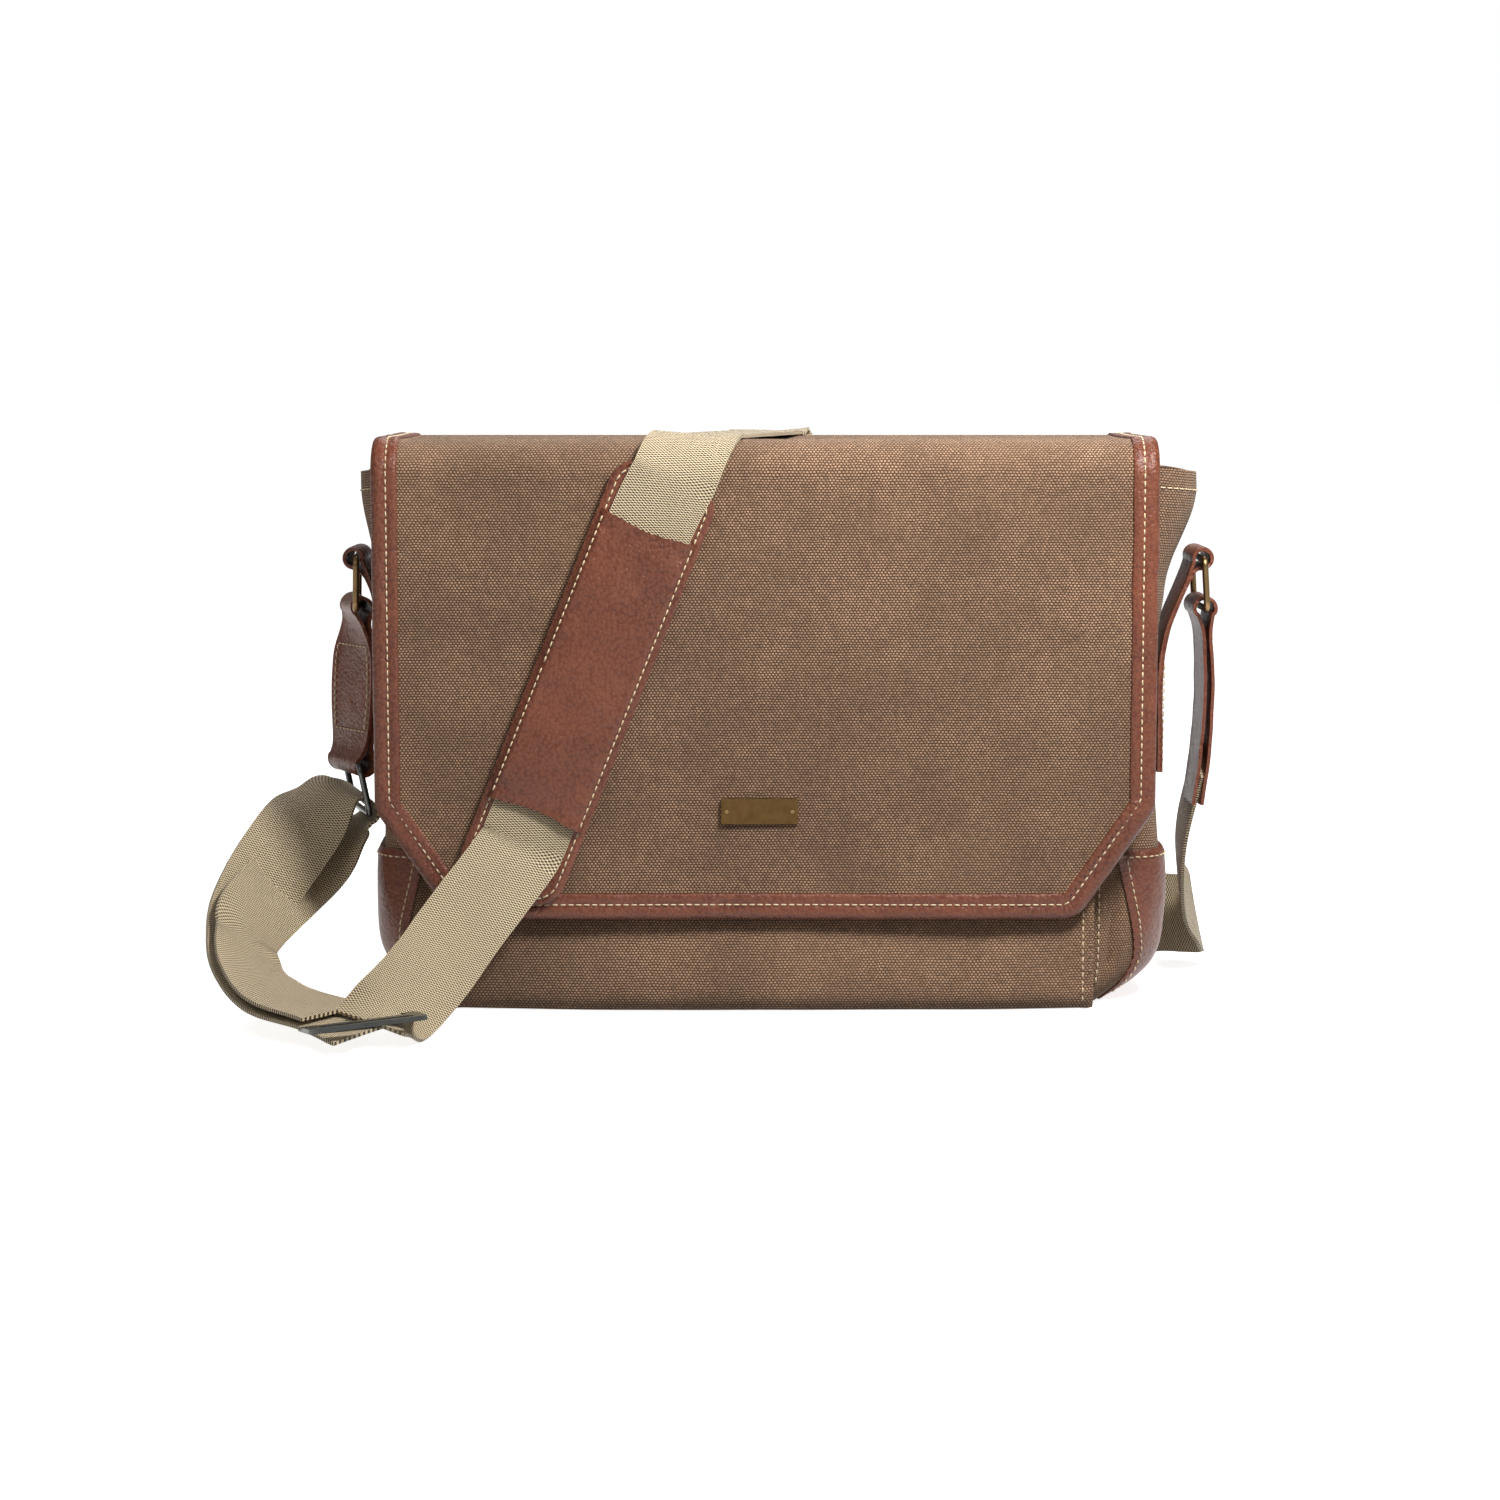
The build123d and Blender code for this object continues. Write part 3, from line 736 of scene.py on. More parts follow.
rows, flat = upright(sleeve_point, SLEEVE_HALF, SLEEVE_FOOT, SLEEVE_TOP, 40, 30)
sleeve = cloth("sleeve_front", rows, flat, LINING, 0.0046)
settle(sleeve, "root", "lining", "laptop_sleeve")
for side, name in ((-1, "sleeve_left_side"), (1, "sleeve_right_side")):
    levels = steps(SLEEVE_FOOT, 0.219, 20)
    rows = [[Vector((side * 0.1572, y, z)) for y in steps(0.026, 0.0435, 6)] for z in levels]
    flat = [[(p.y, p.z) for p in row] for row in rows]
    piece = cloth(name, rows, flat, LINING, 0.0012, side < 0)
    settle(piece, "root", "lining")
lines = [[(sleeve_point(x, 0.2165), FORWARD) for x in steps(-0.156, 0.156, 60)]]


def zip_pocket_point(x, z):
    slack = 0.0008 * math.sin(math.pi * (z - 0.07) / 0.11) * math.cos(x / ZIP_HALF * math.pi / 2)
    return Vector((x, sleeve_point(x, z).y - 0.0004 - slack, z))


rows, flat = upright(zip_pocket_point, ZIP_HALF, 0.070, 0.181, 30, 16)
pouch = cloth("zip_pocket_front", rows, flat, LINING, 0.0008)
settle(pouch, "root", "lining", "zip_pocket")
for x in (-0.1095, 0.1095):
    lines.append([(zip_pocket_point(x, z), FORWARD) for z in steps(0.072, 0.178, 30)])
lines.append([(zip_pocket_point(x, 0.0725), FORWARD) for x in steps(-0.109, 0.109, 50)])
rows, flat = upright(lambda x, z: Vector((x, 0.0208, z)), ZIP_HALF, 0.180, 0.204, 40, 12)
tape = cloth("zip_tape_cloth", rows, flat, ZIP_TAPE, 0.0008)
settle(tape, "root", "zip_tape", "zip_tape")
for z in (0.1825, 0.2015):
    lines.append([(Vector((x, 0.0207, z)), FORWARD) for x in steps(-0.110, 0.110, 50)])
settle(stitches("inner_stitches", lines, 0.003, 0.0022, 0.0006), "root", "lining")
lines = [[(Vector((x, 0.0206, z)), FORWARD) for x in steps(-0.1, 0.1, 60)] for z in (0.1910, 0.1930)]
coil = stitches("zip_coil_teeth", lines, 0.0011, 0.0028, 0.0009, math.radians(82), ZIP_TAPE)
settle(coil, "root", "zip_coil", "zip_coil")


# ---- flap -----------------------------------------------------------------------------

FLAP_BACK = -0.0325


def flap_sway(x, p):
    """Gentle unevenness of the flap, least at its top bend."""
    free = smooth(p, FRONT_RUN + 0.01, FLAP_END) * 0.7 + 0.15
    over_magnet = math.hypot(abs(x) - 0.1255, p - FRONT_RUN - 0.1664)
    sag = 0.0022 * arch(p, TOP_RUN) * math.cos(x / 0.190 * math.pi / 2)
    return swell((x, p, 0), 13.0, 0.0016, 2.0) * free + 0.0008 * smooth(0.0125 - over_magnet, 0, 0.005) - sag


def flap_side_view(p, out):
    """Depth, height and turn at a run p of the flap, a distance out from its middle surface."""
    if p < 0:
        turn = max(p / BACK_RADIUS, -math.pi / 2)
        down = max(-p - BACK_RADIUS * math.pi / 2, 0.0)
        radius = BACK_RADIUS + out
        return 0.050 - radius * math.sin(turn), BACK_TOP + radius * math.cos(turn) - down, turn
    turn = min(max((p - TOP_RUN) / FLAP_BEND, 0), math.pi / 2)
    radius = FLAP_BEND + out
    down = max(p - FRONT_RUN, 0.0)
    y = 0.050 - min(p, TOP_RUN) - radius * math.sin(turn)
    return y, HINGE.z - FLAP_BEND + radius * math.cos(turn) - down, turn


def flap_point(x, p, out):
    """Point of the flap: p runs from the back seam over the top and down the front."""
    if p >= 0:
        out += flap_sway(x, p) * smooth(p, 0.0, 0.03)
    y, z, turn = flap_side_view(p, out)
    return Vector((x, y, z))


def flap_pair(x, p, out):
    low = flap_point(x, p, out)
    return low, (flap_point(x, p, out + 0.001) - low).normalized()


def rounded(points, radius, pitch):
    """Evenly spaced points along a line of flat points with its corners rounded."""
    path = [points[0]]
    for a, b, c in zip(points, points[1:], points[2:]):
        before, after = (a - b).normalized(), (c - b).normalized()
        half = math.acos(max(min(before.dot(after), 1), -1)) / 2
        reach = radius / math.tan(half)
        centre = b + (before + after).normalized() * (radius / math.sin(half))
        start, end = b + before * reach - centre, b + after * reach - centre
        path += [centre + start.slerp(end, k / 10) * radius for k in range(11)]
    path.append(points[-1])
    return spaced(path, pitch)


def flap_edge(pitch, inset=0.0):
    """Outline of the flap from its back left to its back right, with the way inwards."""
    slope = inset * 0.62
    left, right, low = FLAP_LEFT + inset, FLAP_RIGHT - inset, FLAP_END - inset
    corners = [
        Vector((left, FLAP_BACK)), Vector((left, FLAP_END - CHAMFER_RISE - slope)),
        Vector((FLAP_LEFT + CHAMFER_RUN + slope, low)), Vector((FLAP_RIGHT - CHAMFER_RUN - slope, low)),
        Vector((right, FLAP_END - CHAMFER_RISE - slope)), Vector((right, FLAP_BACK)),
    ]
    return [(p, Vector((d.y, -d.x))) for p, d in rounded(corners, max(0.0145 - inset, 0.0025), pitch)]


def flap_sides(p, inset):
    """Left and right limits of the flap at a place along it."""
    slope = inset * 0.62
    left, right = FLAP_LEFT + inset, FLAP_RIGHT - inset
    start = FLAP_END - CHAMFER_RISE - slope
    if p > start:
        share = (p - start) / (FLAP_END - inset - start)
        left += share * (FLAP_LEFT + CHAMFER_RUN + slope - left)
        right += share * (FLAP_RIGHT - CHAMFER_RUN - slope - right)
    return left, right


def flap_layer(name, out, thick, material, flip, low):
    """One layer of the flap, from a run low at its back down to its front edge."""
    rows, flat = [], []
    for p in steps(low, FLAP_END - LAID_IN, 130):
        left, right = flap_sides(p, LAID_IN)
        rows.append([flap_point(x, p, out) for x in steps(left, right, 120)])
        flat.append([(x, p) for x in steps(left, right, 120)])
    return cloth(name, rows, flat, material, thick, flip)


flap = flap_layer("flap_canvas_outer", 0.0015, 0.0017, CANVAS_BROWN, True, FLAP_BACK)
settle_bending(flap, "canvas", HINGE_FROM, HINGE_TO, "flap_canvas")
under = flap_layer("flap_lining_inner", -0.0015, 0.0010, LINING, False, FLAP_BACK + 0.001)
settle_bending(under, "lining", HINGE_FROM, HINGE_TO, "flap_lining")

# half of the binding's section: the distance in from the flap's edge and the height
BINDING_FORM = (
    (0.0122, 0.0012), (0.0123, 0.0019), (0.0117, 0.0025), (0.0096, 0.0026),
    (0.0079, 0.0023), (0.0071, 0.0020), (0.0063, 0.0023), (0.0044, 0.0028),
    (0.0024, 0.0027), (0.0009, 0.0019), (0.0002, 0.0009), (0.0, 0.0),
)
BINDING_CORNERS = [
    Vector((FLAP_LEFT, FLAP_END - CHAMFER_RISE)), Vector((FLAP_LEFT + CHAMFER_RUN, FLAP_END)),
    Vector((FLAP_RIGHT - CHAMFER_RUN, FLAP_END)), Vector((FLAP_RIGHT, FLAP_END - CHAMFER_RISE)),
]
BINDING_STEP = 0.0011


def binding():
    """Leather folded round the flap's edge, gathered at its corners."""
    edge = flap_edge(BINDING_STEP)
    form = list(BINDING_FORM) + [(d, -o) for d, o in reversed(BINDING_FORM[:-1])]
    rows, flat = [], []
    for i, (p, inward) in enumerate(edge):
        at = i * BINDING_STEP
        gather = hump(min((p - q).length for q in BINDING_CORNERS), 0, 0.016)
        row, laid = [], []
        for k, (d, o) in enumerate(form):
            crease = math.sin(at * 1900 + 3 * noise.noise(Vector((at * 60, 0, 0)))) * 0.00042 * gather
            puff = 1 + 0.16 * noise.noise(Vector((at * 90, d * 200, 1.0 if o > 0 else 7.0)))
            high = o * puff + math.copysign(crease * arch(d, BINDING), o)
            place = p + inward * (d + 0.0004 * noise.noise(Vector((at * 45, 3.0, 0))))
            row.append(flap_point(place.x, place.y, high))
            laid.append((at, k * 0.0012))
        rows.append(row)
        flat.append(laid)
    piece = cloth("flap_binding_leather", rows, flat, LEATHER)
    settle_bending(piece, "leather", HINGE_FROM, HINGE_TO, "flap_binding")


binding()
sewn_edge = [p for p, inward in flap_edge(BINDING_STEP, 0.0071)]
lines = [
    [flap_pair(p.x, p.y, 0.0021) for p in sewn_edge],
    [(at, -up) for at, up in [flap_pair(p.x, p.y, -0.0021) for p in sewn_edge]],
]
settle_bending(stitches("flap_stitches", lines), "leather", HINGE_FROM, HINGE_TO)


def needle_holes():
    """Empty needle holes of a second seam on the right slope, drawn as near-black marks of painted shade."""
    low, high = BINDING_CORNERS[2:]
    way = (high - low).normalized()
    inward = Vector((way.y, -way.x)) * 0.0094
    if inward.x > 0:
        inward = -inward
    places = [low + inward + way * d for d in steps(0.006, 0.056, 60)]
    line = [flap_pair(p.x, p.y, 0.00235) for p in places]
    settle(stitches("needle_holes", [line], 0.0037, 0.0008, 0.0009, 0.0, NEEDLE_HOLE_SHADE), "flap", "leather")


needle_holes()

# strip that holds the flap to the back of the body
rows, flat = upright(
    lambda x, z: Vector((x, 0.0510 + 0.0002 * math.sin(x * 300), z)), 0.170, 0.236, 0.262, 60, 10
)
strip = cloth("seam_strip_leather", rows, flat, LEATHER, 0.0022, True)
settle(strip, "root", "canvas", "flap_seam_strip")
lines = []
for p in (FLAP_BACK + 0.004, FLAP_BACK + 0.012):
    lines.append([flap_pair(x, p, 0.0016) for x in steps(-0.172, 0.168, 100)])
settle(stitches("flap_back_stitches", lines), "root", "canvas")


# ---- webbing strap ---------------------------------------------------------------------


def strap_lean(run):
    """Slope of the strap across the flap: steep on the back, easy over the top, steeper again in front."""
    over = 31 - 15 * smooth(run, -0.02, 0.03)
    over += 13 * smooth(run, TOP_RUN - 0.02, FRONT_RUN) * (1 - smooth(run, FRONT_RUN, FRONT_RUN + 0.03))
    return math.radians(over + 6 * smooth(run, FRONT_RUN, FRONT_RUN + 0.03))


STRAP_STEP = 0.001
STRAP_START = -0.08
strap_xs = [0.0]
for k in range(400):
    strap_xs.append(strap_xs[-1] - STRAP_STEP * math.tan(strap_lean(STRAP_START + k * STRAP_STEP)))


def strap_x(run):
    """Middle of the strap across the bag, in line with the pad's own middle."""

    def at(r):
        k = (r - STRAP_START) / STRAP_STEP
        i = int(k)
        return strap_xs[i] + (strap_xs[i + 1] - strap_xs[i]) * (k - i)

    return at(run) - at(PAD_CENTRE_RUN) + PAD_X


def drape(run, out):
    """Middle and width direction of webbing laid over the flap, a run along the flap's mid line."""
    lean = strap_lean(run)
    y, z, turn = flap_side_view(run, out)
    wide = Vector((math.cos(lean), -math.sin(lean) * math.cos(turn), -math.sin(lean) * math.sin(turn)))
    return Vector((strap_x(run), y, z)), wide


def catmull(values, count=8):
    """Smooth points through a list of vectors."""
    ends = [values[0] * 2 - values[1]] + values + [values[-1] * 2 - values[-2]]
    points = []
    for a, b, c, d in zip(ends, ends[1:], ends[2:], ends[3:]):
        for k in range(count):
            t = k / count
            points.append((
                b * 2 + (c - a) * t + (a * 2 - b * 5 + c * 4 - d) * t**2 + (b * 3 - a - c * 3 + d) * t**3
            ) * 0.5)
    return points + [values[-1]]


def curved(stations, count=10):
    """Smooth (middle, width direction) stations through a few of them."""
    return list(zip(catmull([c for c, w in stations], count), catmull([w for c, w in stations], count)))


def mm(x, y, z):
    return Vector((x, y, z)) * MM


def webbing(name, stations, cup=0.0004):
    """Ribbon through (middle, width direction) stations, even in length."""
    centres = [c for c, w in stations]
    lengths = [0.0]
    for a, b in zip(centres, centres[1:]):
        lengths.append(lengths[-1] + (b - a).length)
    rows, flat = [], []
    shares = steps(-0.5, 0.5, 10)
    for i, (centre, wide) in enumerate(stations):
        ahead = (centres[min(i + 1, len(centres) - 1)] - centres[max(i - 1, 0)]).normalized()
        wide = (wide - ahead * wide.dot(ahead)).normalized()
        up = ahead.cross(wide).normalized()
        row = []
        for t in shares:
            fray = 0.0003 * noise.noise(Vector((lengths[i] * 130, t * 4, 0))) * abs(t) * 2
            rise = WEB_THICK / 2 - cup * (2 * t) ** 2
            row.append(centre + wide * (t * WEB + math.copysign(fray, t)) + up * rise)
        rows.append(row)
        flat.append([(t * WEB, lengths[i]) for t in shares])
    piece = cloth(name, rows, flat, WEBBING, WEB_THICK, True)
    return piece


ON_FLAP = 0.0032
ON_PAD = 0.0068
stations = [drape(run, ON_FLAP) for run in steps(-0.069, 0.0, 40)]
stations += [drape(run, ON_FLAP) for run in steps(0.002, TOP_RUN, 40)]
for k, run in enumerate(steps(TOP_RUN, FRONT_RUN, 12)[1:], 1):
    stations.append(drape(run, ON_FLAP + (ON_PAD - ON_FLAP) * k / 12))
stations += [drape(FRONT_RUN + down, ON_PAD) for down in steps(0.003, 0.172, 60)]
tail = [
    drape(FRONT_RUN + 0.160, ON_PAD), stations[-1],
    (mm(-142.5, -92, 46), Vector((0.86, 0, -0.5))), (mm(-156.5, -112, 27.5), Vector((0.85, 0.1, -0.52))),
    (mm(-169.5, -131, 15), Vector((0.88, 0.25, -0.35))), (mm(-180, -147, 11), Vector((0.93, 0.33, 0.05))),
]
front_web = webbing("strap_over_flap", stations + curved(tail)[11:])
settle_bending(front_web, "webbing", HINGE_FROM, HINGE_TO, "strap_front_webbing")

back_way = [
    drape(-0.050, 0.0009), drape(-0.076, 0.0012),
    (mm(84, 58, 110), Vector((0.8, 0, 0.6))), (mm(130, 66, 48), Vector((0.45, 0, 0.9))),
    (mm(175, 76, 25), Vector((0.1, 0, 1))), (mm(203, 77, 24), Vector((-0.08, 0.05, 1))),
    (mm(216, 67, 25), Vector((-0.17, 0.1, 0.97))), (mm(213, 50, 31), Vector((-0.14, 0.35, 0.9))),
    (mm(205, 36, 47), Vector((0, 0.75, 0.7))), (mm(203, 16, 76), Vector((0.05, 0.95, 0.35))),
    (mm(209, 3, 112), Vector((0, 1, 0.1))),
]
settle(webbing("strap_behind_bag", curved(back_way, 16)), "root", "webbing", "strap_back_webbing")

# the loop from the slider out to the lower left ring, round its bar and back inside itself
loop_out = [
    (mm(-180, -155, 8.2), Vector((0.93, 0.33, 0.05))), (mm(-197, -140, 10.5), Vector((0.8, 0.58, 0))),
    (mm(-223, -120, 13), Vector((0.7, 0.7, -0.05))), (mm(-239, -100, 20), Vector((0.62, 0.75, -0.2))),
    (mm(-248, -80, 29), Vector((0.55, 0.65, -0.4))), (mm(-250, -62, 41), Vector((0.55, 0.4, -0.6))),
    (mm(-242, -45, 58), Vector((0.55, 0.1, -0.78))), (mm(-226, -26, 82), Vector((0.5, -0.35, -0.7))),
    (mm(-214, -11, 97), Vector((0.32, -0.85, -0.3))), (mm(-205, -3, 98), Vector((0.28, -0.95, -0.1))),
]
round_bar = [
    (mm(-198, 0, 94), Vector((0.276, -0.96, 0))), (mm(-194.4, 1, 87.5), Vector((0.276, -0.96, 0))),
    (mm(-199.5, 0, 81.8), Vector((0.276, -0.96, 0))), (mm(-209, -5, 77), Vector((0.35, -0.85, -0.25))),
    (mm(-226, -24, 62), Vector((0.5, -0.3, -0.75))),
]
inner = []
for i in range(1, 6):
    ahead = (loop_out[i + 1][0] - loop_out[i - 1][0]).normalized()
    up = ahead.cross(loop_out[i][1]).normalized()
    inner.insert(0, (loop_out[i][0] - up * (3 + 0.8 * i) * MM, loop_out[i][1]))
adjuster = webbing("adjuster_loop", curved(loop_out + round_bar + inner), -0.0003)
settle_bending(adjuster, "webbing", LOOP_FROM, LOOP_TO, "adjuster_webbing")


# ---- shoulder pad ------------------------------------------------------------------------

PAD_DOWN = Vector((-math.sin(LEAN), 0, -math.cos(LEAN)))
PAD_WIDE = Vector((math.cos(LEAN), 0, -math.sin(LEAN)))
PAD_MIDDLE = Vector((PAD_X, -0.067, PAD_Z))
PAD_HALF = PAD_WIDTH / 2
PAD_CORNER = 0.014


def pad_point(s, t, out):
    """Point of the pad, s down from its middle and t across."""
    return PAD_MIDDLE + PAD_DOWN * s + PAD_WIDE * t + Vector((0, -out, 0))


def pad_half(s):
    """Half width of the pad at a distance from its middle."""
    past = abs(s) - (PAD_LENGTH / 2 - PAD_CORNER)
    if past <= 0:
        return PAD_HALF
    past = min(past, PAD_CORNER)
    return PAD_HALF - PAD_CORNER + math.sqrt(PAD_CORNER**2 - past**2)


def pad_base_height(s, t):
    edge = min(pad_half(s) - abs(t), PAD_LENGTH / 2 - abs(s))
    round_off = 0.0012 * (1 - smooth(edge, 0, 0.0022))
    sewn = 0.0005 * hump(edge, SEWN_IN, 0.0007)
    under = 0.0004 * smooth(0.021 - abs(t), 0, 0.002)
    return 0.0035 - round_off - sewn - under + swell((s * 3, t * 3, 0), 26.0, 0.0003)


rows, flat = [], []
for angle in steps(-math.pi / 2 + 0.02, math.pi / 2 - 0.02, 120):
    s = PAD_LENGTH / 2 * math.sin(angle)
    across = [pad_half(s) * t for t in steps(-1, 1, 40)]
    rows.append([pad_point(s, t, pad_base_height(s, t)) for t in across])
    flat.append([(t, s) for t in across])
pad_base = cloth("pad_base_leather", rows, flat, LEATHER, 0.0026, True)
settle(pad_base, "flap", "leather", "pad_backing")

COVER = 0.0710
COVER_MIDDLE = -0.0065


def cover_height(s, t):
    """The leather rises over the webbing, opens at both slots and lies down at its sides."""
    s -= COVER_MIDDLE
    over = smooth(0.0246 - abs(t), 0.0, 0.0042)
    end = smooth(COVER - abs(s), -0.001, 0.014)
    lip = 0.0004 * hump(abs(s), COVER, 0.004) * math.cos(t / 0.021 * math.pi / 2 * 0.8)
    margin = 0.0030 + 0.0008 * end
    sewn = 0.0005 * hump(PAD_HALF - abs(t), SEWN_IN, 0.0007) * end
    crown = 0.0007 * math.cos(t / 0.022 * math.pi / 2) if abs(t) < 0.022 else 0.0
    rise = (0.0075 - margin) * over * (0.93 + 0.07 * end) + crown * end
    rumple = swell((s * 2.2, t * 1.5, 4), 30.0, 0.0007) * over
    fold = 0.0009 * hump(abs(s), COVER - 0.006, 0.003) * hump(abs(t), 0.0195, 0.003)
    edge = 0.0012 * (1 - smooth(PAD_HALF - abs(t), 0, 0.0018))
    return margin + rise + rumple + lip - fold - sewn - edge


def cover_reach(t):
    """Half length of the cover, a little uneven across its ends."""
    uneven = 0.0006 * noise.noise(Vector((t * 300, 2, 0)))
    return COVER - 0.0012 * math.cos(min(abs(t) / PAD_HALF, 1) * math.pi) + uneven


rows, flat = [], []
for k in steps(-1, 1, 110):
    laid = [(t, cover_reach(t) * k) for t in steps(-PAD_HALF, PAD_HALF, 48)]
    flat.append(laid)
    rows.append([pad_point(COVER_MIDDLE + s, t, cover_height(COVER_MIDDLE + s, t)) for t, s in laid])
cover = cloth("pad_cover_leather", rows, flat, LEATHER, 0.0017, True)
settle(cover, "flap", "leather", "pad_face")

half_length, half_width = PAD_LENGTH / 2 - SEWN_IN, PAD_HALF - SEWN_IN
corners = [
    Vector((-half_width, 0)), Vector((-half_width, half_length)), Vector((half_width, half_length)),
    Vector((half_width, -half_length)), Vector((-half_width, -half_length)), Vector((-half_width, -0.001)),
]
line = []
for p, d in rounded(corners, PAD_CORNER - SEWN_IN, 0.001):
    height = pad_base_height(p.y, p.x) + 0.0003
    if abs(p.y - COVER_MIDDLE) < COVER - 0.001:
        height = max(height, cover_height(p.y, p.x) + 0.0003)
    line.append((pad_point(p.y, p.x, height), FORWARD))
settle(stitches("pad_stitches", [line]), "flap", "leather")


# ---- leather tabs -------------------------------------------------------------------------


def connector_turn(point):
    """Point of the left connector, turned towards the front about its own upright line."""
    z = point.z
    turn = 26 + 13 * arch(z - 0.106, 0.086) - 13 * smooth(z, 0.160, 0.187)
    about = Vector((-0.202, 0, 0))
    return Matrix.Rotation(math.radians(turn), 3, "Z") @ (point - about) + about


def eye_arc(eye, toward, reach=0.00475, open_by=38.0, count=22):
    """Points round an eye, from one side of the way to the strip to the other."""
    base = math.atan2(toward.y, toward.x)
    gap = math.radians(open_by)
    return [
        eye + Vector((math.cos(base + a), math.sin(base + a))) * reach
        for a in steps(gap, 2 * math.pi - gap, count)
    ]


def belt(name, path, turned=None):
    """Leather strip along a line of (x, z) points, flat across the bag's depth unless it is turned."""
    points = [p for p, d in spaced(path, 0.0008)] + [path[-1]]
    shares = steps(-0.5, 0.5, 14)
    rows, flat = [], []
    length = 0.0
    for i, p in enumerate(points):
        if i:
            length += (p - points[i - 1]).length
        ahead = (points[min(i + 1, len(points) - 1)] - points[max(i - 1, 0)]).normalized()
        side = Vector((ahead.y, -ahead.x))
        row = []
        for t in shares:
            uneven = 0.0003 * noise.noise(Vector((length * 90, t * 6, 0)))
            at = p - side * (0.0004 * (1 - smooth(0.5 - abs(t), 0.0, 0.05)) - uneven)
            place = Vector((at.x, t * TAB_WIDE, at.y))
            row.append(turned(place) if turned else place)
        rows.append(row)
        flat.append([(t * TAB_WIDE, length) for t in shares])
    piece = cloth(name, rows, flat, LEATHER, TAB_LAYER, offset=0.0)
    return piece


def flat2(x, z):
    return Vector((x, z)) * MM


def tab_path(bottom, knee, neck, eye):
    """Up one layer, round the ring's bar and down the other layer."""
    toward = (neck - eye).normalized()
    ring_part = eye_arc(eye, toward)
    up_side = Vector((toward.y, -toward.x))
    if (ring_part[0] - eye).dot(up_side) < 0:
        up_side = -up_side
    aside = Vector((TAB_LAYER / 2, 0)) if up_side.x > 0 else Vector((-TAB_LAYER / 2, 0))
    first = [p + aside for p in (bottom, knee, neck)]
    second = [p - aside for p in (neck, knee, bottom)]
    return catmull(first + ring_part[::2]) + catmull([ring_part[-1]] + second)[1:]


def tab_stitches(name, lines):
    """Rows of stitches on a strip's faces: each line is (x, z) points, two depths and a face sign."""
    found = []
    for points, y0, y1, sign in lines:
        row = []
        for share in steps(0, 1, 24):
            at = points[int(share * (len(points) - 1))]
            if len(points) == 2:
                at = points[0].lerp(points[1], share)
            row.append((Vector((at.x, y0 + (y1 - y0) * share, at.y)), Vector((sign, 0, 0))))
        found.append(row)
    settle(stitches(name, found), "root", "leather")


path = tab_path(flat2(-189.2, 108), flat2(-188.9, 180), flat2(-193.0, 200.5), flat2(-200, 211))
settle(belt("left_tab_leather", path), "root", "leather", "left_ring_tab")
path = tab_path(flat2(187.7, 108), flat2(188.4, 166), flat2(200.4, 201.0), flat2(207, 211))
settle(belt("right_tab_leather", path), "root", "leather", "right_ring_tab")

# connector between the two left rings: one belt round both bars, sewn together in the middle
top_eye, low_eye = flat2(-200.5, 187), flat2(-204, 111)
down_way = (low_eye - top_eye).normalized()
arc_top = eye_arc(top_eye, down_way)
arc_low = eye_arc(low_eye, -down_way)
aside = Vector((down_way.y, -down_way.x)) * 0.0009
if (arc_top[0] - top_eye).dot(aside) < 0:
    aside = -aside
middle = [top_eye + down_way * d for d in (0.012, 0.038, 0.064)]
path = [middle[1] - aside, middle[0] - aside, *arc_top[::-2], *[p + aside for p in middle]]
path += [*arc_low[::-2], middle[2] - aside, middle[1] - aside]
connector = belt("left_connector_leather", catmull(path), connector_turn)
settle_bending(connector, "leather", LOOP_FROM, LOOP_TO, "left_connector")


def on_connector(d, y):
    """Point of a seam on the connector's outer face and the way that face looks."""
    at = top_eye + down_way * d
    return connector_turn(Vector((at.x - 0.0019, y, at.y))), Vector((-0.9, -0.4, 0)).normalized()


lines = [[on_connector(d, y) for y in steps(-0.0145, 0.0145, 20)] for d in (0.019, 0.060)]
lines += [[on_connector(d, y) for d in steps(0.019, 0.060, 30)] for y in (-0.0145, 0.0145)]
settle_bending(stitches("left_connector_stitches", lines), "leather", LOOP_FROM, LOOP_TO)

# leather end of the strap on the right, two layers with the webbing between them
end_eye = flat2(208.5, 187)
neck = flat2(209.2, 176)
arc = eye_arc(end_eye, (neck - end_eye).normalized())
first = [flat2(204.3, 92), flat2(207.2, 112), flat2(209.0, 135), flat2(209.3, 155), flat2(208.3, 174)]
second = [flat2(210.9, 174), flat2(212.2, 155), flat2(212.0, 135), flat2(210.6, 112), flat2(207.7, 92)]
if arc[0].x > end_eye.x:
    arc = arc[::-1]
strap_end = belt("right_strap_end_leather", catmull(first + arc[::2] + second))
settle(strap_end, "root", "leather", "right_strap_end")


def tab_rows(low, high, sign):
    """Lines round the edge of a tab's outer face."""
    return [
        ([low, high], TAB_SEAM, TAB_SEAM, sign), ([low, high], -TAB_SEAM, -TAB_SEAM, sign),
        ([low, low], -TAB_SEAM, TAB_SEAM, sign), ([high, high], -TAB_SEAM, TAB_SEAM, sign),
    ]


tab_stitches("left_tab_stitches", tab_rows(flat2(-190.45, 112), flat2(-190.2, 178), -1))
tab_stitches("right_tab_stitches", tab_rows(flat2(188.95, 112), flat2(189.5, 160), 1))
outer = catmull([p + Vector((0.0010, 0)) for p in second])
lines = [(outer, y, y, 1) for y in (-TAB_SEAM, TAB_SEAM)]
lines.append(([outer[-2], outer[-2]], -TAB_SEAM, TAB_SEAM, 1))
tab_stitches("strap_end_stitches", lines)


# ---- hard parts ----------------------------------------------------------------------------


def dress(node, material):
    """Give a CAD node's faces a better material."""
    obj = bpy.data.objects[node]
    for slot in obj.material_slots:
        slot.material = material


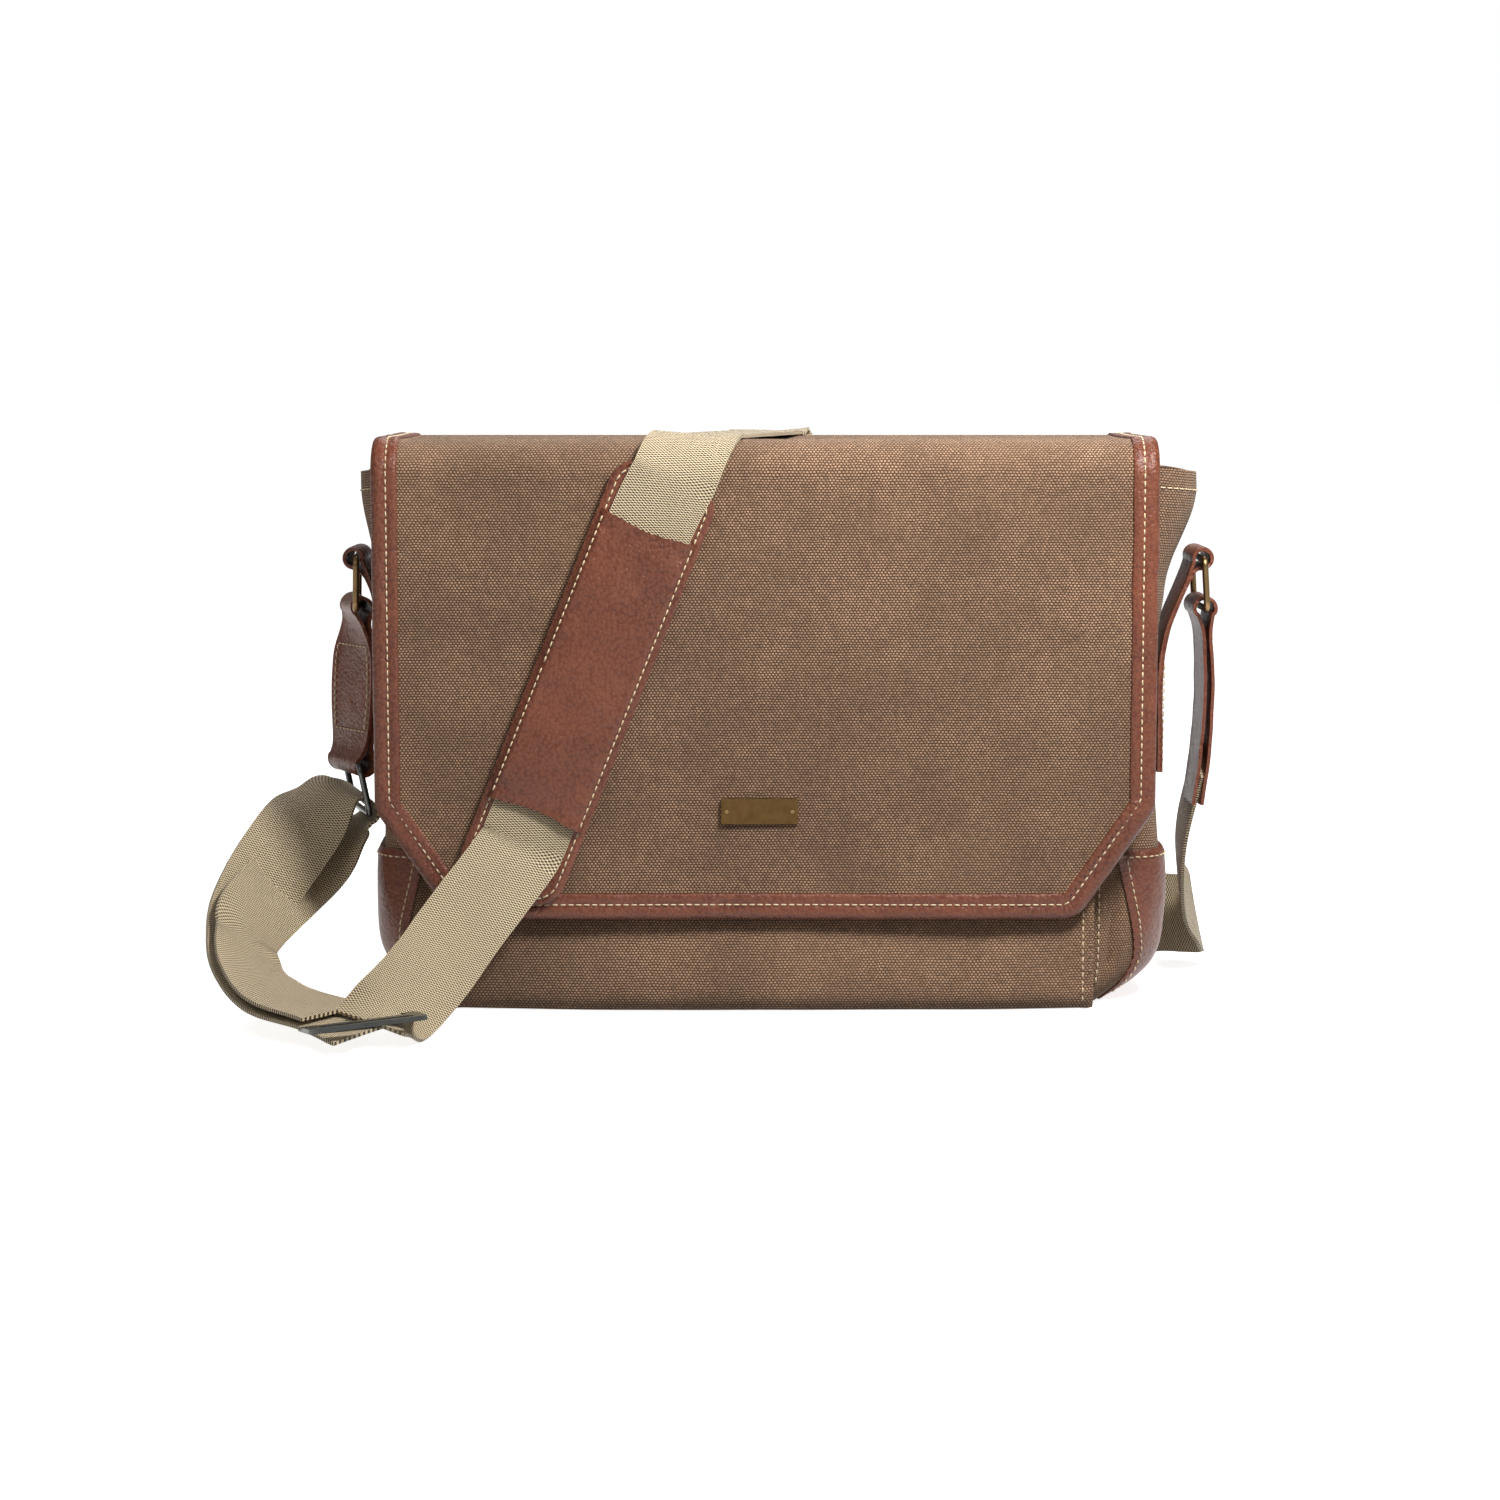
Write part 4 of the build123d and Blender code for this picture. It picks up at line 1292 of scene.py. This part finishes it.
HARD = (
    ("left_ring", BRASS), ("right_ring", BRASS), ("left_lower_ring", GUNMETAL), ("strap_slider", GUNMETAL),
    ("name_plate", PLATE_BRASS), ("plate_pins", BRASS), ("flap_magnets", NICKEL), ("pocket_magnets", NICKEL),
    ("zip_slider", NICKEL), ("zip_pull", NICKEL),
)
for node, material in HARD:
    dress(node, material)


# ---- floor, light and camera -----------------------------------------------------------------

floor_paint = Shade("pale_floor").done(
    Base_Color=(0.93, 0.93, 0.93, 1), Roughness=0.8, Specular_IOR_Level=0.1,
    Emission_Color=(1, 1, 1, 1), Emission_Strength=0.80,
)
clear_selection()
bpy.ops.mesh.primitive_plane_add(size=60, location=(0, 0, 0))
floor = bpy.context.active_object
floor.name = "floor"
floor.data.materials.append(floor_paint)
floor.visible_diffuse = False

scene = bpy.context.scene
world = bpy.data.worlds.new("studio")
world.use_nodes = True
backdrop = world.node_tree.nodes["Background"]
backdrop.inputs["Color"].default_value = (1, 1, 1, 1)
backdrop.inputs["Strength"].default_value = 1.0
dimmer = world.node_tree.nodes.new("ShaderNodeBackground")
dimmer.inputs["Color"].default_value = (1, 0.985, 0.97, 1)
dimmer.inputs["Strength"].default_value = 0.28
seen = world.node_tree.nodes.new("ShaderNodeLightPath")
either = world.node_tree.nodes.new("ShaderNodeMixShader")
world.node_tree.links.new(seen.outputs["Is Camera Ray"], either.inputs[0])
world.node_tree.links.new(dimmer.outputs[0], either.inputs[1])
world.node_tree.links.new(backdrop.outputs[0], either.inputs[2])
world.node_tree.links.new(either.outputs[0], world.node_tree.nodes["World Output"].inputs[0])
scene.world = world


def area_light(name, place, aim, size, power):
    lamp = bpy.data.lights.new(name, "AREA")
    lamp.shape = "DISK"
    lamp.size = size
    lamp.energy = power
    obj = bpy.data.objects.new(name, lamp)
    obj.location = place
    obj.rotation_euler = (Vector(aim) - Vector(place)).to_track_quat("-Z", "Y").to_euler()
    scene.collection.objects.link(obj)


area_light("key", (0.31, -0.43, 0.71), (0.09, 0, 0.17), 0.20, 7.8)
area_light("fill", (-0.55, -0.75, 0.95), (-0.1, 0, 0.18), 0.5, 1.8)
area_light("rim", (0.2, 1.4, 1.6), (0, 0, 0.15), 1.2, 11)

camera_data = bpy.data.cameras.new("camera")
camera_data.sensor_width = 36
camera_data.lens = 79.3
camera = bpy.data.objects.new("camera", camera_data)
camera.location = (-0.010, -1.600, 0.300)
aim = Vector((-0.010, -0.055, 0.123)) - camera.location
camera.rotation_euler = aim.to_track_quat("-Z", "Y").to_euler()
scene.collection.objects.link(camera)
scene.camera = camera
scene.view_settings.view_transform = "Standard"
